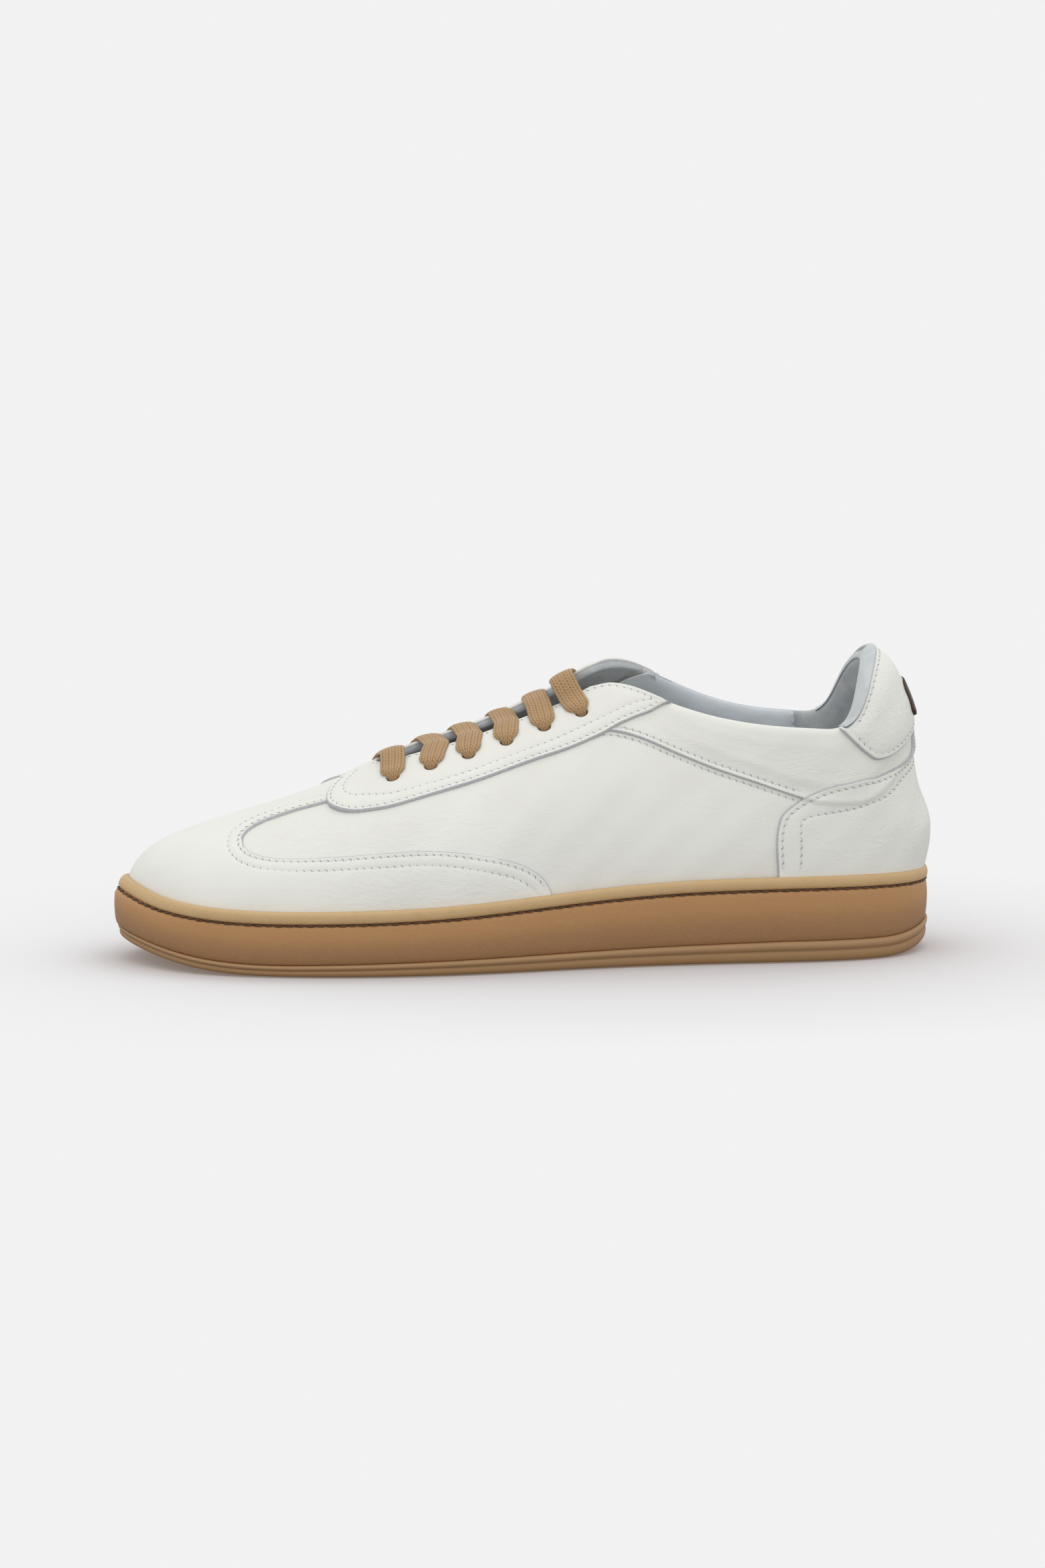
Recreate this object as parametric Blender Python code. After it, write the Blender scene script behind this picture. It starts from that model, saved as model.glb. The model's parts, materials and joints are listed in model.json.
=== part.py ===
"""Left court shoe: gum cup sole, white leather upper, straight bar lace.

Frame: +X toe, +Y outer (lateral) side, +Z up, ground at Z = 0.
All lengths below are written in millimetres and scaled by MM to metres.
"""
import math

import bmesh
import bpy
import numpy as np
from mathutils import Vector
from mathutils.geometry import delaunay_2d_cdt

MM = 0.001

# ---------------------------------------------------------------- sole sizes
FLANGE_BALL = 4.0          # tread edge height under the ball of the foot
FLANGE_HEEL = 7.6          # tread edge height under the heel
CUP_FLOOR = 2.6            # floor thickness of the cup
RIM_BAND = 3.8             # rounded band above the stitch groove
GROOVE = 1.0               # depth of the stitch groove
GROOVE_HIGH = 4.2          # upper edge of the groove floor below the rim
GROOVE_LOW = 5.6           # lower edge of the groove floor below the rim
WALL_FACE = 0.5            # wall face beside the groove inside the outline
WALL_CLEAR = 0.55          # inner face of the cup wall beside the upper
RIM_ROUND = 0.5            # rounding of the rim's inner edge
THREAD = 0.55              # half thickness of the sole thread
TUCK = 8.0                 # upper reaches this far below the cup rim
GAP = 0.4                  # clearance between neighbouring bodies
CUP_CLEAR = 0.35           # clearance above the tread and the cup floor
BOARD = 1.6                # insole board thickness
FOOTBED = 3.6              # footbed thickness at its middle

# --------------------------------------------------------------- upper sizes
LEATHER = 1.2              # main leather thickness
OVER_IN = 0.35             # inner face of overlays above the main leather
OVER_OUT = 1.55            # outer face of overlays
BADGE_OUT = 2.7            # outer face of the heel badge
LINING_TOP = -1.6          # outer face of the lining
LINING_LOW = -2.5          # inner face of the lining where nothing is padded
OVER_RIM = 0.8             # overlays stop this far above the cup rim

# ----------------------------------------------------------------- lace sizes
HOLE_R = 2.7               # eyelet hole radius
HOLE_SIDES = 7
LACE_W = 4.6               # half width of a lace bar
LACE_T = 0.75              # half thickness of a lace bar
LACE_TOP = 2.85            # centre of a lace bar above the main leather
LACE_RUN = -4.3            # centre of a hidden lace run
AGLET = 14.0               # length of a lace tip
LOOSE = 0.24               # hidden length of a loose end on the chart

# --------------------------------------------------------------- tongue sizes
HINGE_X = 54.0             # stitched front edge of the tongue
HINGE_Z = 63.5
TONGUE_END = -48.0         # free end of the tongue, raised
TONGUE_DROP = 10.0         # the tongue rests this many degrees below raised
TONGUE_FACE = 1.2
TONGUE_FOAM = 3.0
TONGUE_BACK = 0.8

# Plan outline keys (x, y), lateral side from toe to heel, then medial back.
OUTLINE = (
    (150, -4), (141, 19), (125, 36), (100, 47.5), (72, 53), (45, 54),
    (10, 50), (-25, 43.5), (-60, 40), (-95, 39.2), (-120, 36), (-138, 26.5),
    (-147.5, 12.5), (-150, -1), (-147.5, -14.5), (-138, -27.5),
    (-118, -36), (-90, -38), (-55, -36), (-20, -36.5), (15, -43),
    (45, -50.5), (72, -54), (98, -52), (122, -43), (140, -27),
)
HEEL_KEY = 13              # outline key at the back of the heel

# Lattice lines shared by every layer of the upper: toe to heel, sole to top.
U_LINES = (0, .03, .065, .105, .15, .2, .255, .31, .365, .42, .475, .53, .585,
           .635, .685, .735, .785, .83, .87, .905, .935, .965, 1)
V_LINES = (0, .12, .26, .42, .57, .72, .86, 1)


# ------------------------------------------------------------------- splines
def spline(keys):
    """Natural cubic spline through (position, value) keys."""
    t = np.array([k[0] for k in keys], float)
    v = np.array([k[1] for k in keys], float)
    n = len(t)
    h = np.diff(t)
    a = np.zeros((n, n))
    b = np.zeros(n)
    a[0, 0] = 1
    a[-1, -1] = 1
    for i in range(1, n - 1):
        a[i, i - 1] = h[i - 1]
        a[i, i] = 2 * (h[i - 1] + h[i])
        a[i, i + 1] = h[i]
        b[i] = 6 * ((v[i + 1] - v[i]) / h[i] - (v[i] - v[i - 1]) / h[i - 1])
    m = np.linalg.solve(a, b)

    def at(x):
        x = min(max(float(x), t[0]), t[-1])
        i = min(max(int(np.searchsorted(t, x)) - 1, 0), n - 2)
        d = x - t[i]
        e = t[i + 1] - x
        cubic = (m[i] * e ** 3 + m[i + 1] * d ** 3) / (6 * h[i])
        left = (v[i] / h[i] - m[i] * h[i] / 6) * e
        right = (v[i + 1] / h[i] - m[i + 1] * h[i] / 6) * d
        return cubic + left + right
    return at


def even(keys):
    """Spline on 0..1 mirrored about both ends."""
    head = [(-k[0], k[1]) for k in reversed(keys) if 0 < k[0] < 0.35]
    tail = [(2 - k[0], k[1]) for k in reversed(keys) if 0.65 < k[0] < 1]
    return spline(head + list(keys) + tail)


def odd_heel(keys):
    """Spline on 0..1 that changes sign past the heel."""
    tail = [(2 - k[0], -k[1]) for k in reversed(keys) if 0.65 < k[0] < 1]
    return spline(list(keys) + tail)


def closed_outline():
    """Arc length splines of the plan outline."""
    keys = list(OUTLINE)
    loop = keys[-4:] + keys + keys[:5]
    steps = [math.dist(loop[i], loop[i + 1]) for i in range(len(loop) - 1)]
    s = [0.0]
    for step in steps:
        s.append(s[-1] + step)
    shift = s[4]
    s = [value - shift for value in s]
    fx = spline([(s[i], loop[i][0]) for i in range(len(loop))])
    fy = spline([(s[i], loop[i][1]) for i in range(len(loop))])
    return fx, fy, s[4 + HEEL_KEY], s[4 + len(keys)]


FX, FY, S_HEEL, S_ALL = closed_outline()

# Heights along the length of the shoe.
TOE_SPRING = 9.0           # rise of the tread at the toe tip
TOE_START = 92.0           # where the tread leaves the ground in front
HEEL_LIFT = 4.5            # rise of the tread at the back edge
HEEL_START = -126.0        # where the tread leaves the ground behind
RIM_Z = spline([(-150, 30.2), (-130, 30.9), (-90, 31.1), (-44, 30),
                (-10, 27.8), (21, 25.4), (45, 24.1), (80, 23.3), (118, 23.9),
                (131, 25.2), (139, 26.7), (150, 30.8)])
CENTRE_Y = spline([(-150, -1), (-60, -1), (0, -2), (80, -3), (120, -3)])

# Last shape from toe (0) to heel (1): top line, swell and crown handles.
INSET = even([(0, 6.2), (.1, 5.8), (.3, 5), (.6, 4.4), (.85, 4.4), (1, 4.6)])
TOP_X = even([(0, 116), (.08, 113.5), (.16, 103), (.25, 82), (.35, 52),
              (.45, 19), (.55, -14), (.62, -37), (.67, -53), (.75, -79),
              (.83, -104), (.89, -119), (.94, -126.5), (1, -130)])
TOP_Y = odd_heel([(0, 0), (.2, 0), (.4, 0), (.5, 0), (.56, 1), (.61, 5),
                  (.65, 11.5), (.69, 18.5), (.75, 25.5), (.82, 29.5),
                  (.87, 28.5), (.92, 22), (.96, 12), (1, 0)])
TOP_Z = even([(0, 47.6), (.08, 48.4), (.16, 51.5), (.25, 57.6), (.3, 63.2),
              (.35, 70.4), (.4, 76.2), (.45, 81), (.5, 86.8), (.55, 93),
              (.6, 98), (.64, 96.3), (.67, 93), (.71, 89.2), (.75, 86.8),
              (.79, 85.5), (.83, 84.8), (.86, 85), (.885, 88.5), (.91, 95.5),
              (.94, 104), (.97, 109.3), (1, 110.8)])
SWELL_OUT = even([(0, 1.5), (.1, 1.5), (.3, 2.8), (.5, 3.8), (.65, 3.8),
                  (.8, 4.5), (.9, 6.5), (1, 8)])
SWELL_UP = even([(0, 16), (.1, 16), (.2, 18), (.3, 23), (.4, 28), (.5, 32),
                 (.6, 32), (.7, 28), (.8, 22), (.9, 23), (1, 24)])
CROWN_OUT = even([(0, 18), (.1, 20), (.2, 23), (.3, 26), (.4, 27), (.5, 24),
                  (.58, 18), (.64, 9), (.7, 3.5), (.8, 1.5), (.87, 3),
                  (.93, 11), (1, 16)])
CROWN_UP = even([(0, 0), (.3, 0), (.5, -2), (.58, -5), (.64, -10), (.7, -15),
                 (.8, -18), (.87, -20), (.93, -18), (1, -16)])
MEDIAL_RISE = spline([(.345, 0), (.4, 1.5), (.46, 2.6), (.5, 3.6), (.55, 5.8),
                      (.6, 7.8), (.64, 7.8), (.68, 6.2), (.72, 3.8),
                      (.76, 1.7), (.8, .5), (.84, 0)])
HEEL_FORM = spline([(20, 0), (34, .3), (41, .9), (47, .6), (52, -.9),
                    (58, -2.7), (64, -3.7), (70, -3.4), (78, -2.5),
                    (88, -2.2), (98, -2.6), (106, -3), (112, -3)])


# -------------------------------------------------------------- last surface
def bottom_z(x):
    """Underside of the tread: flat, with toe spring and heel bevel."""
    if x > TOE_START:
        return TOE_SPRING * ((x - TOE_START) / (150 - TOE_START)) ** 2.6
    if x < HEEL_START:
        return HEEL_LIFT * ((HEEL_START - x) / (150 + HEEL_START)) ** 2.4
    return 0.0


def outline(u, side):
    """Plan point and inward unit normal; u runs 0 at toe to 1 at heel."""
    s = u * S_HEEL if side > 0 else S_ALL - u * (S_ALL - S_HEEL)
    tx = FX(s + 0.01) - FX(s - 0.01)
    ty = FY(s + 0.01) - FY(s - 0.01)
    size = math.hypot(tx, ty)
    return np.array([FX(s), FY(s)]), np.array([-ty, tx]) / size


def crown_slope(u):
    """Rise of the ridge line per unit of length."""
    a, b = (u - .001, u + .001) if u > .02 else (.04, .06)
    return (TOP_Z(b) - TOP_Z(a)) / (TOP_X(b) - TOP_X(a))


def fold(u, v):
    """Chart point to (u, v, side) with u and v inside 0..1."""
    side = 1
    if v > 1:
        v = 2 - v
        side = -side
    if u > 1:
        u = 2 - u
        side = -side
    if u < 0:
        u = -u
        side = -side
    return u, v, side


def last_point(u, v, side):
    """Outer surface of the main leather."""
    plan, inward = outline(u, side)
    foot = plan + inward * INSET(u)
    start = np.array([foot[0], foot[1], RIM_Z(foot[0]) - TUCK])
    x = TOP_X(u)
    high = MEDIAL_RISE(u) if side < 0 else 0
    end = np.array([x, CENTRE_Y(x) + side * TOP_Y(u), TOP_Z(u) + high])
    out = start[:2] - end[:2]
    out = out / np.linalg.norm(out)
    p1 = start + np.array([*(out * SWELL_OUT(u)), SWELL_UP(u)])
    front = min(max((.6 - u) / .1, 0), 1)
    lift = front * crown_slope(u) * out[0] * CROWN_OUT(u)
    p2 = end + np.array([*(out * CROWN_OUT(u)), CROWN_UP(u) + lift])
    w = 1 - v
    p = (w ** 3 * start + 3 * w * w * v * p1 + 3 * w * v * v * p2
         + v ** 3 * end)
    back = min(max((u - .84) / .1, 0), 1)
    p[0] -= back * back * (3 - 2 * back) * HEEL_FORM(p[2])
    return p


def last_normal(u, v, side):
    """Outward unit normal; one sided where the top line is open."""
    if v > .995 and u <= .5:
        n = np.array([-crown_slope(u), 0, 1])
        return n / np.linalg.norm(n)
    e = .002
    v0 = max(v - e, 0)
    v1 = min(v + e, 1)
    du = last_point(*side_fold(u + e, v, side))
    du = du - last_point(*side_fold(u - e, v, side))
    dv = last_point(*side_fold(u, v1, side))
    dv = dv - last_point(*side_fold(u, v0, side))
    n = np.cross(du, dv) * side
    return n / np.linalg.norm(n)


def side_fold(u, v, side):
    """Fold a point given on one side."""
    fu, fv, change = fold(u, v)
    return fu, fv, side * change


NODES = {}


def lattice(i, j, side):
    """Cached lattice point and normal."""
    key = (i, j, side)
    if key not in NODES:
        u, v = U_LINES[i], V_LINES[j]
        NODES[key] = (last_point(u, v, side), last_normal(u, v, side))
    return NODES[key]


def cell_of(value, lines):
    i = 0
    while i < len(lines) - 2 and value > lines[i + 1]:
        i += 1
    return i, (value - lines[i]) / (lines[i + 1] - lines[i])


def facet_point(u, v, side, offset):
    """Point on the faceted last, offset along blended lattice normals."""
    i, a = cell_of(u, U_LINES)
    j, b = cell_of(v, V_LINES)
    if a >= b:
        corners = ((i, j, 1 - a), (i + 1, j, a - b), (i + 1, j + 1, b))
    else:
        corners = ((i, j, 1 - b), (i, j + 1, b - a), (i + 1, j + 1, a))
    total = np.zeros(3)
    for ci, cj, weight in corners:
        p, n = lattice(ci, cj, side)
        d = offset(U_LINES[ci], V_LINES[cj]) if callable(offset) else offset
        total = total + weight * (p + d * n)
    return total


def facet_chart(u, v, offset):
    fu, fv, side = fold(u, v)
    return facet_point(fu, fv, side, offset)


# ------------------------------------------------------------- mesh building
def add_object(name, verts, faces, material, smooth=True):
    """One closed body in metres with outward faces."""
    mesh = bpy.data.meshes.new(name)
    bm = bmesh.new()
    made = [bm.verts.new(Vector(p) * MM) for p in verts]
    for face in faces:
        if len(set(face)) == len(face):
            bm.faces.new([made[k] for k in face])
    bmesh.ops.remove_doubles(bm, verts=bm.verts, dist=.00002)
    bmesh.ops.dissolve_degenerate(bm, edges=bm.edges, dist=.00001)
    bmesh.ops.recalc_face_normals(bm, faces=bm.faces)
    for face in bm.faces:
        face.smooth = smooth
    bm.to_mesh(mesh)
    bm.free()
    mesh.materials.append(material)
    obj = bpy.data.objects.new(name, mesh)
    bpy.context.scene.collection.objects.link(obj)
    return obj


def inside(x, y, loop):
    """Even odd test."""
    hit = False
    for k in range(len(loop)):
        x0, y0 = loop[k - 1]
        x1, y1 = loop[k]
        if (y0 > y) != (y1 > y):
            if x < (x1 - x0) * (y - y0) / (y1 - y0) + x0:
                hit = not hit
    return hit


def chart_lattice(loop):
    """Lattice edges of the chart cells around a loop."""
    us = [p[0] for p in loop]
    vs = [p[1] for p in loop]
    points = {}
    edges = set()

    def index(u, v):
        key = (round(u, 6), round(v, 6))
        if key not in points:
            points[key] = len(points)
        return points[key]

    def unfold(u, v, flip_u, flip_v):
        return (2 - u if flip_u else u), (2 - v if flip_v else v)

    for flip_u, flip_v in ((0, 0), (0, 1), (1, 0)):
        for i in range(len(U_LINES) - 1):
            for j in range(len(V_LINES) - 1):
                quad = [unfold(U_LINES[i + a], V_LINES[j + b], flip_u, flip_v)
                        for a, b in ((0, 0), (1, 0), (1, 1), (0, 1))]
                if max(q[0] for q in quad) <= min(us):
                    continue
                if min(q[0] for q in quad) >= max(us):
                    continue
                if max(q[1] for q in quad) <= min(vs):
                    continue
                if min(q[1] for q in quad) >= max(vs):
                    continue
                ids = [index(*q) for q in quad]
                for a, b in ((0, 1), (1, 2), (2, 3), (3, 0), (0, 2)):
                    edges.add((min(ids[a], ids[b]), max(ids[a], ids[b])))
    return list(points), list(edges)


def collapse(points, tris, rank, limit):
    """Merge chart points whose edges are very short on the shoe."""
    place = [facet_chart(u, v, 0) for u, v in points]
    parent = list(range(len(points)))

    def root(k):
        while parent[k] != k:
            k = parent[k]
        return k

    for tri in tris:
        for a, b in ((0, 1), (1, 2), (2, 0)):
            p, q = root(tri[a]), root(tri[b])
            if p == q:
                continue
            if np.linalg.norm(place[p] - place[q]) < limit:
                keep, drop = (p, q) if rank[p] <= rank[q] else (q, p)
                parent[drop] = keep
    kept = []
    for tri in tris:
        t = tuple(root(k) for k in tri)
        if len(set(t)) == 3:
            kept.append(t)
    return kept


def cut_chart(loop, holes=()):
    """Triangles of the faceted last inside a chart loop."""
    base, edges = chart_lattice(loop)
    coords = [Vector(p) for p in base]
    edges = list(edges)
    rank_input = [0] * len(coords)
    for ring in (loop, *holes):
        first = len(coords)
        coords += [Vector(p) for p in ring]
        rank_input += [1] * len(ring)
        count = len(ring)
        edges += [(first + k, first + (k + 1) % count) for k in range(count)]
    out = delaunay_2d_cdt(coords, edges, [], 0, 1e-7, True)
    points = [(p[0], p[1]) for p in out[0]]
    rank = []
    for sources in out[3]:
        best = 2
        for k in sources:
            best = min(best, rank_input[k])
        rank.append(best)
    tris = []
    for tri in out[2]:
        cx = sum(points[k][0] for k in tri) / 3
        cy = sum(points[k][1] for k in tri) / 3
        if not inside(cx, cy, loop):
            continue
        if any(inside(cx, cy, ring) for ring in holes):
            continue
        tris.append(tuple(tri))
    return points, collapse(points, tris, rank, .3)


def panel(name, loop, inner, outer, material, holes=()):
    """Leather or lining piece between two offsets of the last."""
    points, tris = cut_chart(loop, holes)
    used = {}
    verts_in, verts_out = [], []

    def index(k):
        u, v = points[k]
        if u < 1e-5:
            u, v = 0.0, min(v, 2 - v)
        key = (round(u, 5), round(v, 5))
        if key not in used:
            used[key] = len(verts_in)
            verts_in.append(facet_chart(u, v, inner))
            verts_out.append(facet_chart(u, v, outer))
        return used[key]

    faces = [tuple(index(k) for k in tri) for tri in tris]
    faces = [f for f in faces if len(set(f)) == 3]
    count = len(verts_in)
    border = {}
    for face in faces:
        for k in range(3):
            a, b = face[k], face[(k + 1) % 3]
            if (b, a) in border:
                del border[(b, a)]
            else:
                border[(a, b)] = True
    all_faces = [tuple(k + count for k in face) for face in faces]
    all_faces += [tuple(reversed(face)) for face in faces]
    all_faces += [(b, a, a + count, b + count) for a, b in border]
    return add_object(name, verts_in + verts_out, all_faces, material)


def mirror_u(loop):
    """Same loop on the medial side through the heel."""
    return [(2 - u, v) for u, v in reversed(loop)]


def rim_v(u, side, above):
    """Chart height where the last clears the cup rim."""
    low, high = 0.0, .6
    for _ in range(30):
        mid = (low + high) / 2
        p = facet_point(u, mid, side, OVER_IN)
        if p[2] < RIM_Z(p[0]) + above:
            low = mid
        else:
            high = mid
    return high


def rim_edge(u0, u1, above, medial=False):
    """Chart points just above the rim between two stations."""
    low, high = min(u0, u1), max(u0, u1)
    stations = [low, *[u for u in U_LINES if low < u < high], high]
    if u0 > u1:
        stations.reverse()
    side = -1 if medial else 1
    return [(u, rim_v(u, side, above)) for u in stations]


# ------------------------------------------------------------ sole and board
def stations():
    """(index, side) around the shoe: toe, lateral, heel, medial."""
    last = len(U_LINES) - 1
    ring = [(k, 1) for k in range(last + 1)]
    ring += [(k, -1) for k in range(last - 1, 0, -1)]
    return ring


def ring_points(rule):
    """One ring of points; rule gives the point of a station."""
    return [np.array(rule(U_LINES[k], side)) for k, side in stations()]


def edge_point(u, side, inset, z_rule):
    """Point at an inset from the plan outline."""
    plan, inward = outline(u, side)
    p = plan + inward * inset
    return p[0], p[1], z_rule(p[0])


def cap_rows(ring, columns, z_rule=None):
    """Rows across the shoe between matching stations of a ring."""
    last = len(U_LINES) - 1
    rows = []
    for k in range(1, last):
        a = ring[k]
        b = ring[len(ring) - k]
        row = []
        for t in columns:
            p = a * (1 - t) + b * t
            if z_rule:
                p[2] = z_rule(p[0], t)
            row.append(p)
        rows.append(row)
    return rows


def lofted(name, rings, material, top=(), bottom=(), top_z=None, loop=False):
    """Body from stacked rings with ladder caps, or a closed tube of rings."""
    count = len(rings[0])
    verts = [p for ring in rings for p in ring]
    faces = []
    levels = len(rings) if loop else len(rings) - 1
    for r in range(levels):
        a = r * count
        b = ((r + 1) % len(rings)) * count
        for k in range(count):
            m = (k + 1) % count
            faces.append((a + k, a + m, b + m, b + k))
    if not loop:
        caps = ((0, bottom, None), (len(rings) - 1, top, top_z))
        for level, columns, z_rule in caps:
            add_cap(verts, faces, rings[level], level * count, columns, z_rule)
    return add_object(name, verts, faces, material)


def add_cap(verts, faces, ring, first, columns, z_rule):
    """Close a ring by rows that run from side to side."""
    count = len(ring)
    last = len(U_LINES) - 1
    rows = cap_rows(ring, columns, z_rule) if columns else None
    table = []
    for k in range(1, last):
        row = [first + k]
        if rows:
            for p in rows[k - 1]:
                row.append(len(verts))
                verts.append(p)
        row.append(first + count - k)
        table.append(row)
    for above, below in zip(table, table[1:]):
        for c in range(len(above) - 1):
            faces.append((above[c], above[c + 1], below[c + 1]))
            faces.append((above[c], below[c + 1], below[c]))
    for row, tip in ((table[0], first), (table[-1], first + last)):
        for c in range(len(row) - 1):
            faces.append((tip, row[c], row[c + 1]))


def flange(x):
    """Tread edge height at x."""
    t = min(max((90 - x) / 180, 0), 1)
    return FLANGE_BALL + (FLANGE_HEEL - FLANGE_BALL) * t


def toe_inset(u):
    """The tread edge draws in a little around the toe."""
    return 1.5 * max(0, 1 - u / .14)


def tread_top(x):
    return bottom_z(x) + flange(x)


def cup_base(x):
    return tread_top(x) + CUP_CLEAR


def cup_floor(x):
    return cup_base(x) + CUP_FLOOR


def filler_top(x):
    return RIM_Z(x) - TUCK - GAP


def make_outsole(material):
    """Flat tread with a beaded edge that shows below the cup wall."""
    steps = ((1.6, 0), (.3, .16), (0, .42), (.7, .56), (.1, .7), (.3, 1))
    rings = []
    for inset, part in steps:
        def rule(u, side, inset=inset, part=part):
            return edge_point(u, side, inset + toe_inset(u),
                              lambda x: bottom_z(x) + part * flange(x))
        rings.append(ring_points(rule))
    return lofted("outsole", rings, material)


def wall_ring(inset, z_rule):
    return ring_points(lambda u, side: edge_point(u, side, inset, z_rule))


def inner_wall(u, side, v):
    """Point beside the upper, pushed outward by a clearance."""
    return facet_point(u, v, side, WALL_CLEAR)


def rim_inner(u, side):
    return inner_wall(u, side, rim_v(u, side, -RIM_ROUND))


def inner_low(u, side):
    """Inner wall at the first lattice line, or lower where the rim is low."""
    v = min(V_LINES[1], .6 * rim_v(u, side, -RIM_ROUND))
    return inner_wall(u, side, v)


def rim_crown(u, side):
    """Top of the rim, half way through the wall."""
    plan, inward = outline(u, side)
    depth = float(np.dot(rim_inner(u, side)[:2] - plan, inward))
    p = plan + inward * (depth * .55 + .2)
    return p[0], p[1], RIM_Z(p[0])


def make_cupsole(material):
    """Side wall with rim band, stitch groove and floor in one moulding."""
    deep = WALL_FACE + GROOVE
    rings = [
        wall_ring(1.0, cup_base),
        wall_ring(.3, lambda x: cup_base(x) + .9),
        wall_ring(.1, lambda x: (cup_base(x) + RIM_Z(x)) / 2),
        wall_ring(WALL_FACE, lambda x: RIM_Z(x) - GROOVE_LOW - .4),
        wall_ring(deep, lambda x: RIM_Z(x) - GROOVE_LOW),
        wall_ring(deep, lambda x: RIM_Z(x) - GROOVE_HIGH),
        wall_ring(WALL_FACE, lambda x: RIM_Z(x) - RIM_BAND),
        wall_ring(.2, lambda x: RIM_Z(x) - RIM_BAND / 2),
        wall_ring(.9, lambda x: RIM_Z(x) - .5),
        ring_points(rim_crown),
        ring_points(rim_inner),
        ring_points(inner_low),
        ring_points(lambda u, side: inner_wall(u, side, 0)),
        ring_points(wall_foot),
    ]
    return lofted("cupsole", rings, material)


def wall_foot(u, side):
    """Inner wall where it meets the cup floor."""
    p = inner_wall(u, side, 0)
    return p[0], p[1], cup_floor(p[0])


def make_sole_stitch(material):
    """Thread that runs round the shoe in the groove."""
    middle = (GROOVE_HIGH + GROOVE_LOW) / 2
    depth = WALL_FACE + GROOVE - THREAD - .3
    rings = []
    for k in range(4):
        angle = math.pi / 2 * k
        out = math.cos(angle) * THREAD
        up = math.sin(angle) * THREAD
        rings.append(wall_ring(depth - out,
                               lambda x, up=up: RIM_Z(x) - middle + up))
    return lofted("sole_stitch", rings, material, loop=True)


def inner_ring(clear, z_rule):
    """Ring inside the foot of the upper at a clearance."""
    def rule(u, side):
        p = facet_point(u, 0, side, -clear)
        return p[0], p[1], z_rule(p[0])
    return ring_points(rule)


def make_filler(material):
    rings = [inner_ring(-.1, lambda x: cup_floor(x) + CUP_CLEAR),
             inner_ring(-.1, filler_top)]
    return lofted("midsole_filler", rings, material)


def make_board(material):
    clear = -LINING_LOW + .5
    rings = [inner_ring(clear, lambda x: filler_top(x) + GAP),
             inner_ring(clear, lambda x: filler_top(x) + GAP + BOARD)]
    return lofted("insole_board", rings, material)


def footbed_z(x, t):
    """Dished top of the footbed, with an arch on the medial side."""
    rise = FOOTBED + 2.2 * abs(2 * t - 1) ** 3
    arch = 2.4 * math.exp(-((x + 15) / 34) ** 2) * max(0, 2 * t - 1) ** 2
    return filler_top(x) + 2 * GAP + BOARD + rise + arch


def make_footbed(material):
    clear = -LINING_LOW + .9
    low = GAP * 2 + BOARD
    rings = [inner_ring(clear, lambda x: filler_top(x) + low),
             inner_ring(clear, lambda x: filler_top(x) + low + FOOTBED)]
    columns = (.1, .28, .5, .72, .9)
    return lofted("footbed", rings, material, top=columns, top_z=footbed_z)


# -------------------------------------------------------------- upper pieces
# Seam lines of the upper as chart points (length, height).
STAY_EDGE = ((.282, .98), (.283, .86), (.291, .71), (.308, .642), (.333, .6),
             (.366, .578), (.437, .592), (.507, .615), (.559, .632),
             (.598, .683), (.636, .8), (.655, .9), (.668, .985))
THROAT = ((.582, .985), (.562, .935), (.546, .912), (.497, .9), (.461, .892),
          (.427, .884), (.377, .893), (.352, .94))
TOE_EDGE = ((.481, .226), (.447, .273), (.414, .312), (.38, .34), (.33, .37),
            (.279, .407), (.235, .446), (.206, .494), (.189, .555),
            (.182, .646), (.188, .717), (.208, .773), (.241, .795))
COLLAR_SEAM = ((.594, .672), (.645, .652), (.7, .636), (.746, .608),
               (.79, .545))
HEEL_FRONT = ((.761, .285), (.767, .406), (.776, .471), (.798, .554),
              (.825, .62), (.85, .655), (.873, .655), (.893, .628),
              (.92, .585), (.946, .575))
TAB_EDGE = ((.859, .985), (.871, .89), (.886, .763), (.897, .69),
            (.918, .634), (.945, .612))
EYELETS = ((.36, .75), (.401, .745), (.442, .75), (.484, .762),
           (.526, .775), (.567, .795))
SIDE_FRONT = .168          # side panels start here, under the toe cap
SIDE_BACK = .803           # and end here, under the heel overlay


def padding(u, v):
    """Extra depth of the lining behind the collar foam."""
    start = min(max((u - .64) / .06, 0), 1)
    ramp = min(max((v - .48) / .13, 0), 1)
    top = 1 - .5 * min(max((v - .87) / .13, 0), 1)
    heel = 1 + .45 * min(max((u - .84) / .1, 0), 1)
    return 3.0 * start * ramp * top * heel


def lining_top(u, v):
    return LINING_TOP - padding(u, v)


def lining_low(u, v):
    return LINING_LOW - padding(u, v)


def foam_low(u, v):
    return LINING_TOP + GAP - padding(u, v)


def shifted(points, du, dv):
    return [(u + du, v + dv) for u, v in points]


def toe_overlay_loop():
    half = [(0, rim_v(0, 1, OVER_RIM))]
    half += rim_edge(.03, .521, OVER_RIM)
    half += list(TOE_EDGE)
    half += [(.262, .79), (.274, .83), (.275, .98), (.275, 1)]
    return toe_loop(half)


def toe_loop(half):
    """Mirror a toe half loop; both ends of the toe line are shared."""
    other = [(u, 2 - v) for u, v in reversed(half) if abs(v - 1) > 1e-6]
    return list(half) + other


def side_loop():
    """Side panel from under the toe cap to under the heel overlay."""
    low = [(SIDE_FRONT, 0)]
    low += [(u, 0) for u in U_LINES if SIDE_FRONT < u < SIDE_BACK]
    low += [(SIDE_BACK, 0), (SIDE_BACK, .525)]
    seam = shifted(reversed(COLLAR_SEAM[1:]), 0, -.008)
    lap = [(u, v + .07) for u, v in reversed(STAY_EDGE[4:9])]
    nose = [(.318, .7), (.305, .76), (.298, .84), (SIDE_FRONT, .835)]
    return low + seam + [(.608, .672)] + lap + nose


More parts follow.
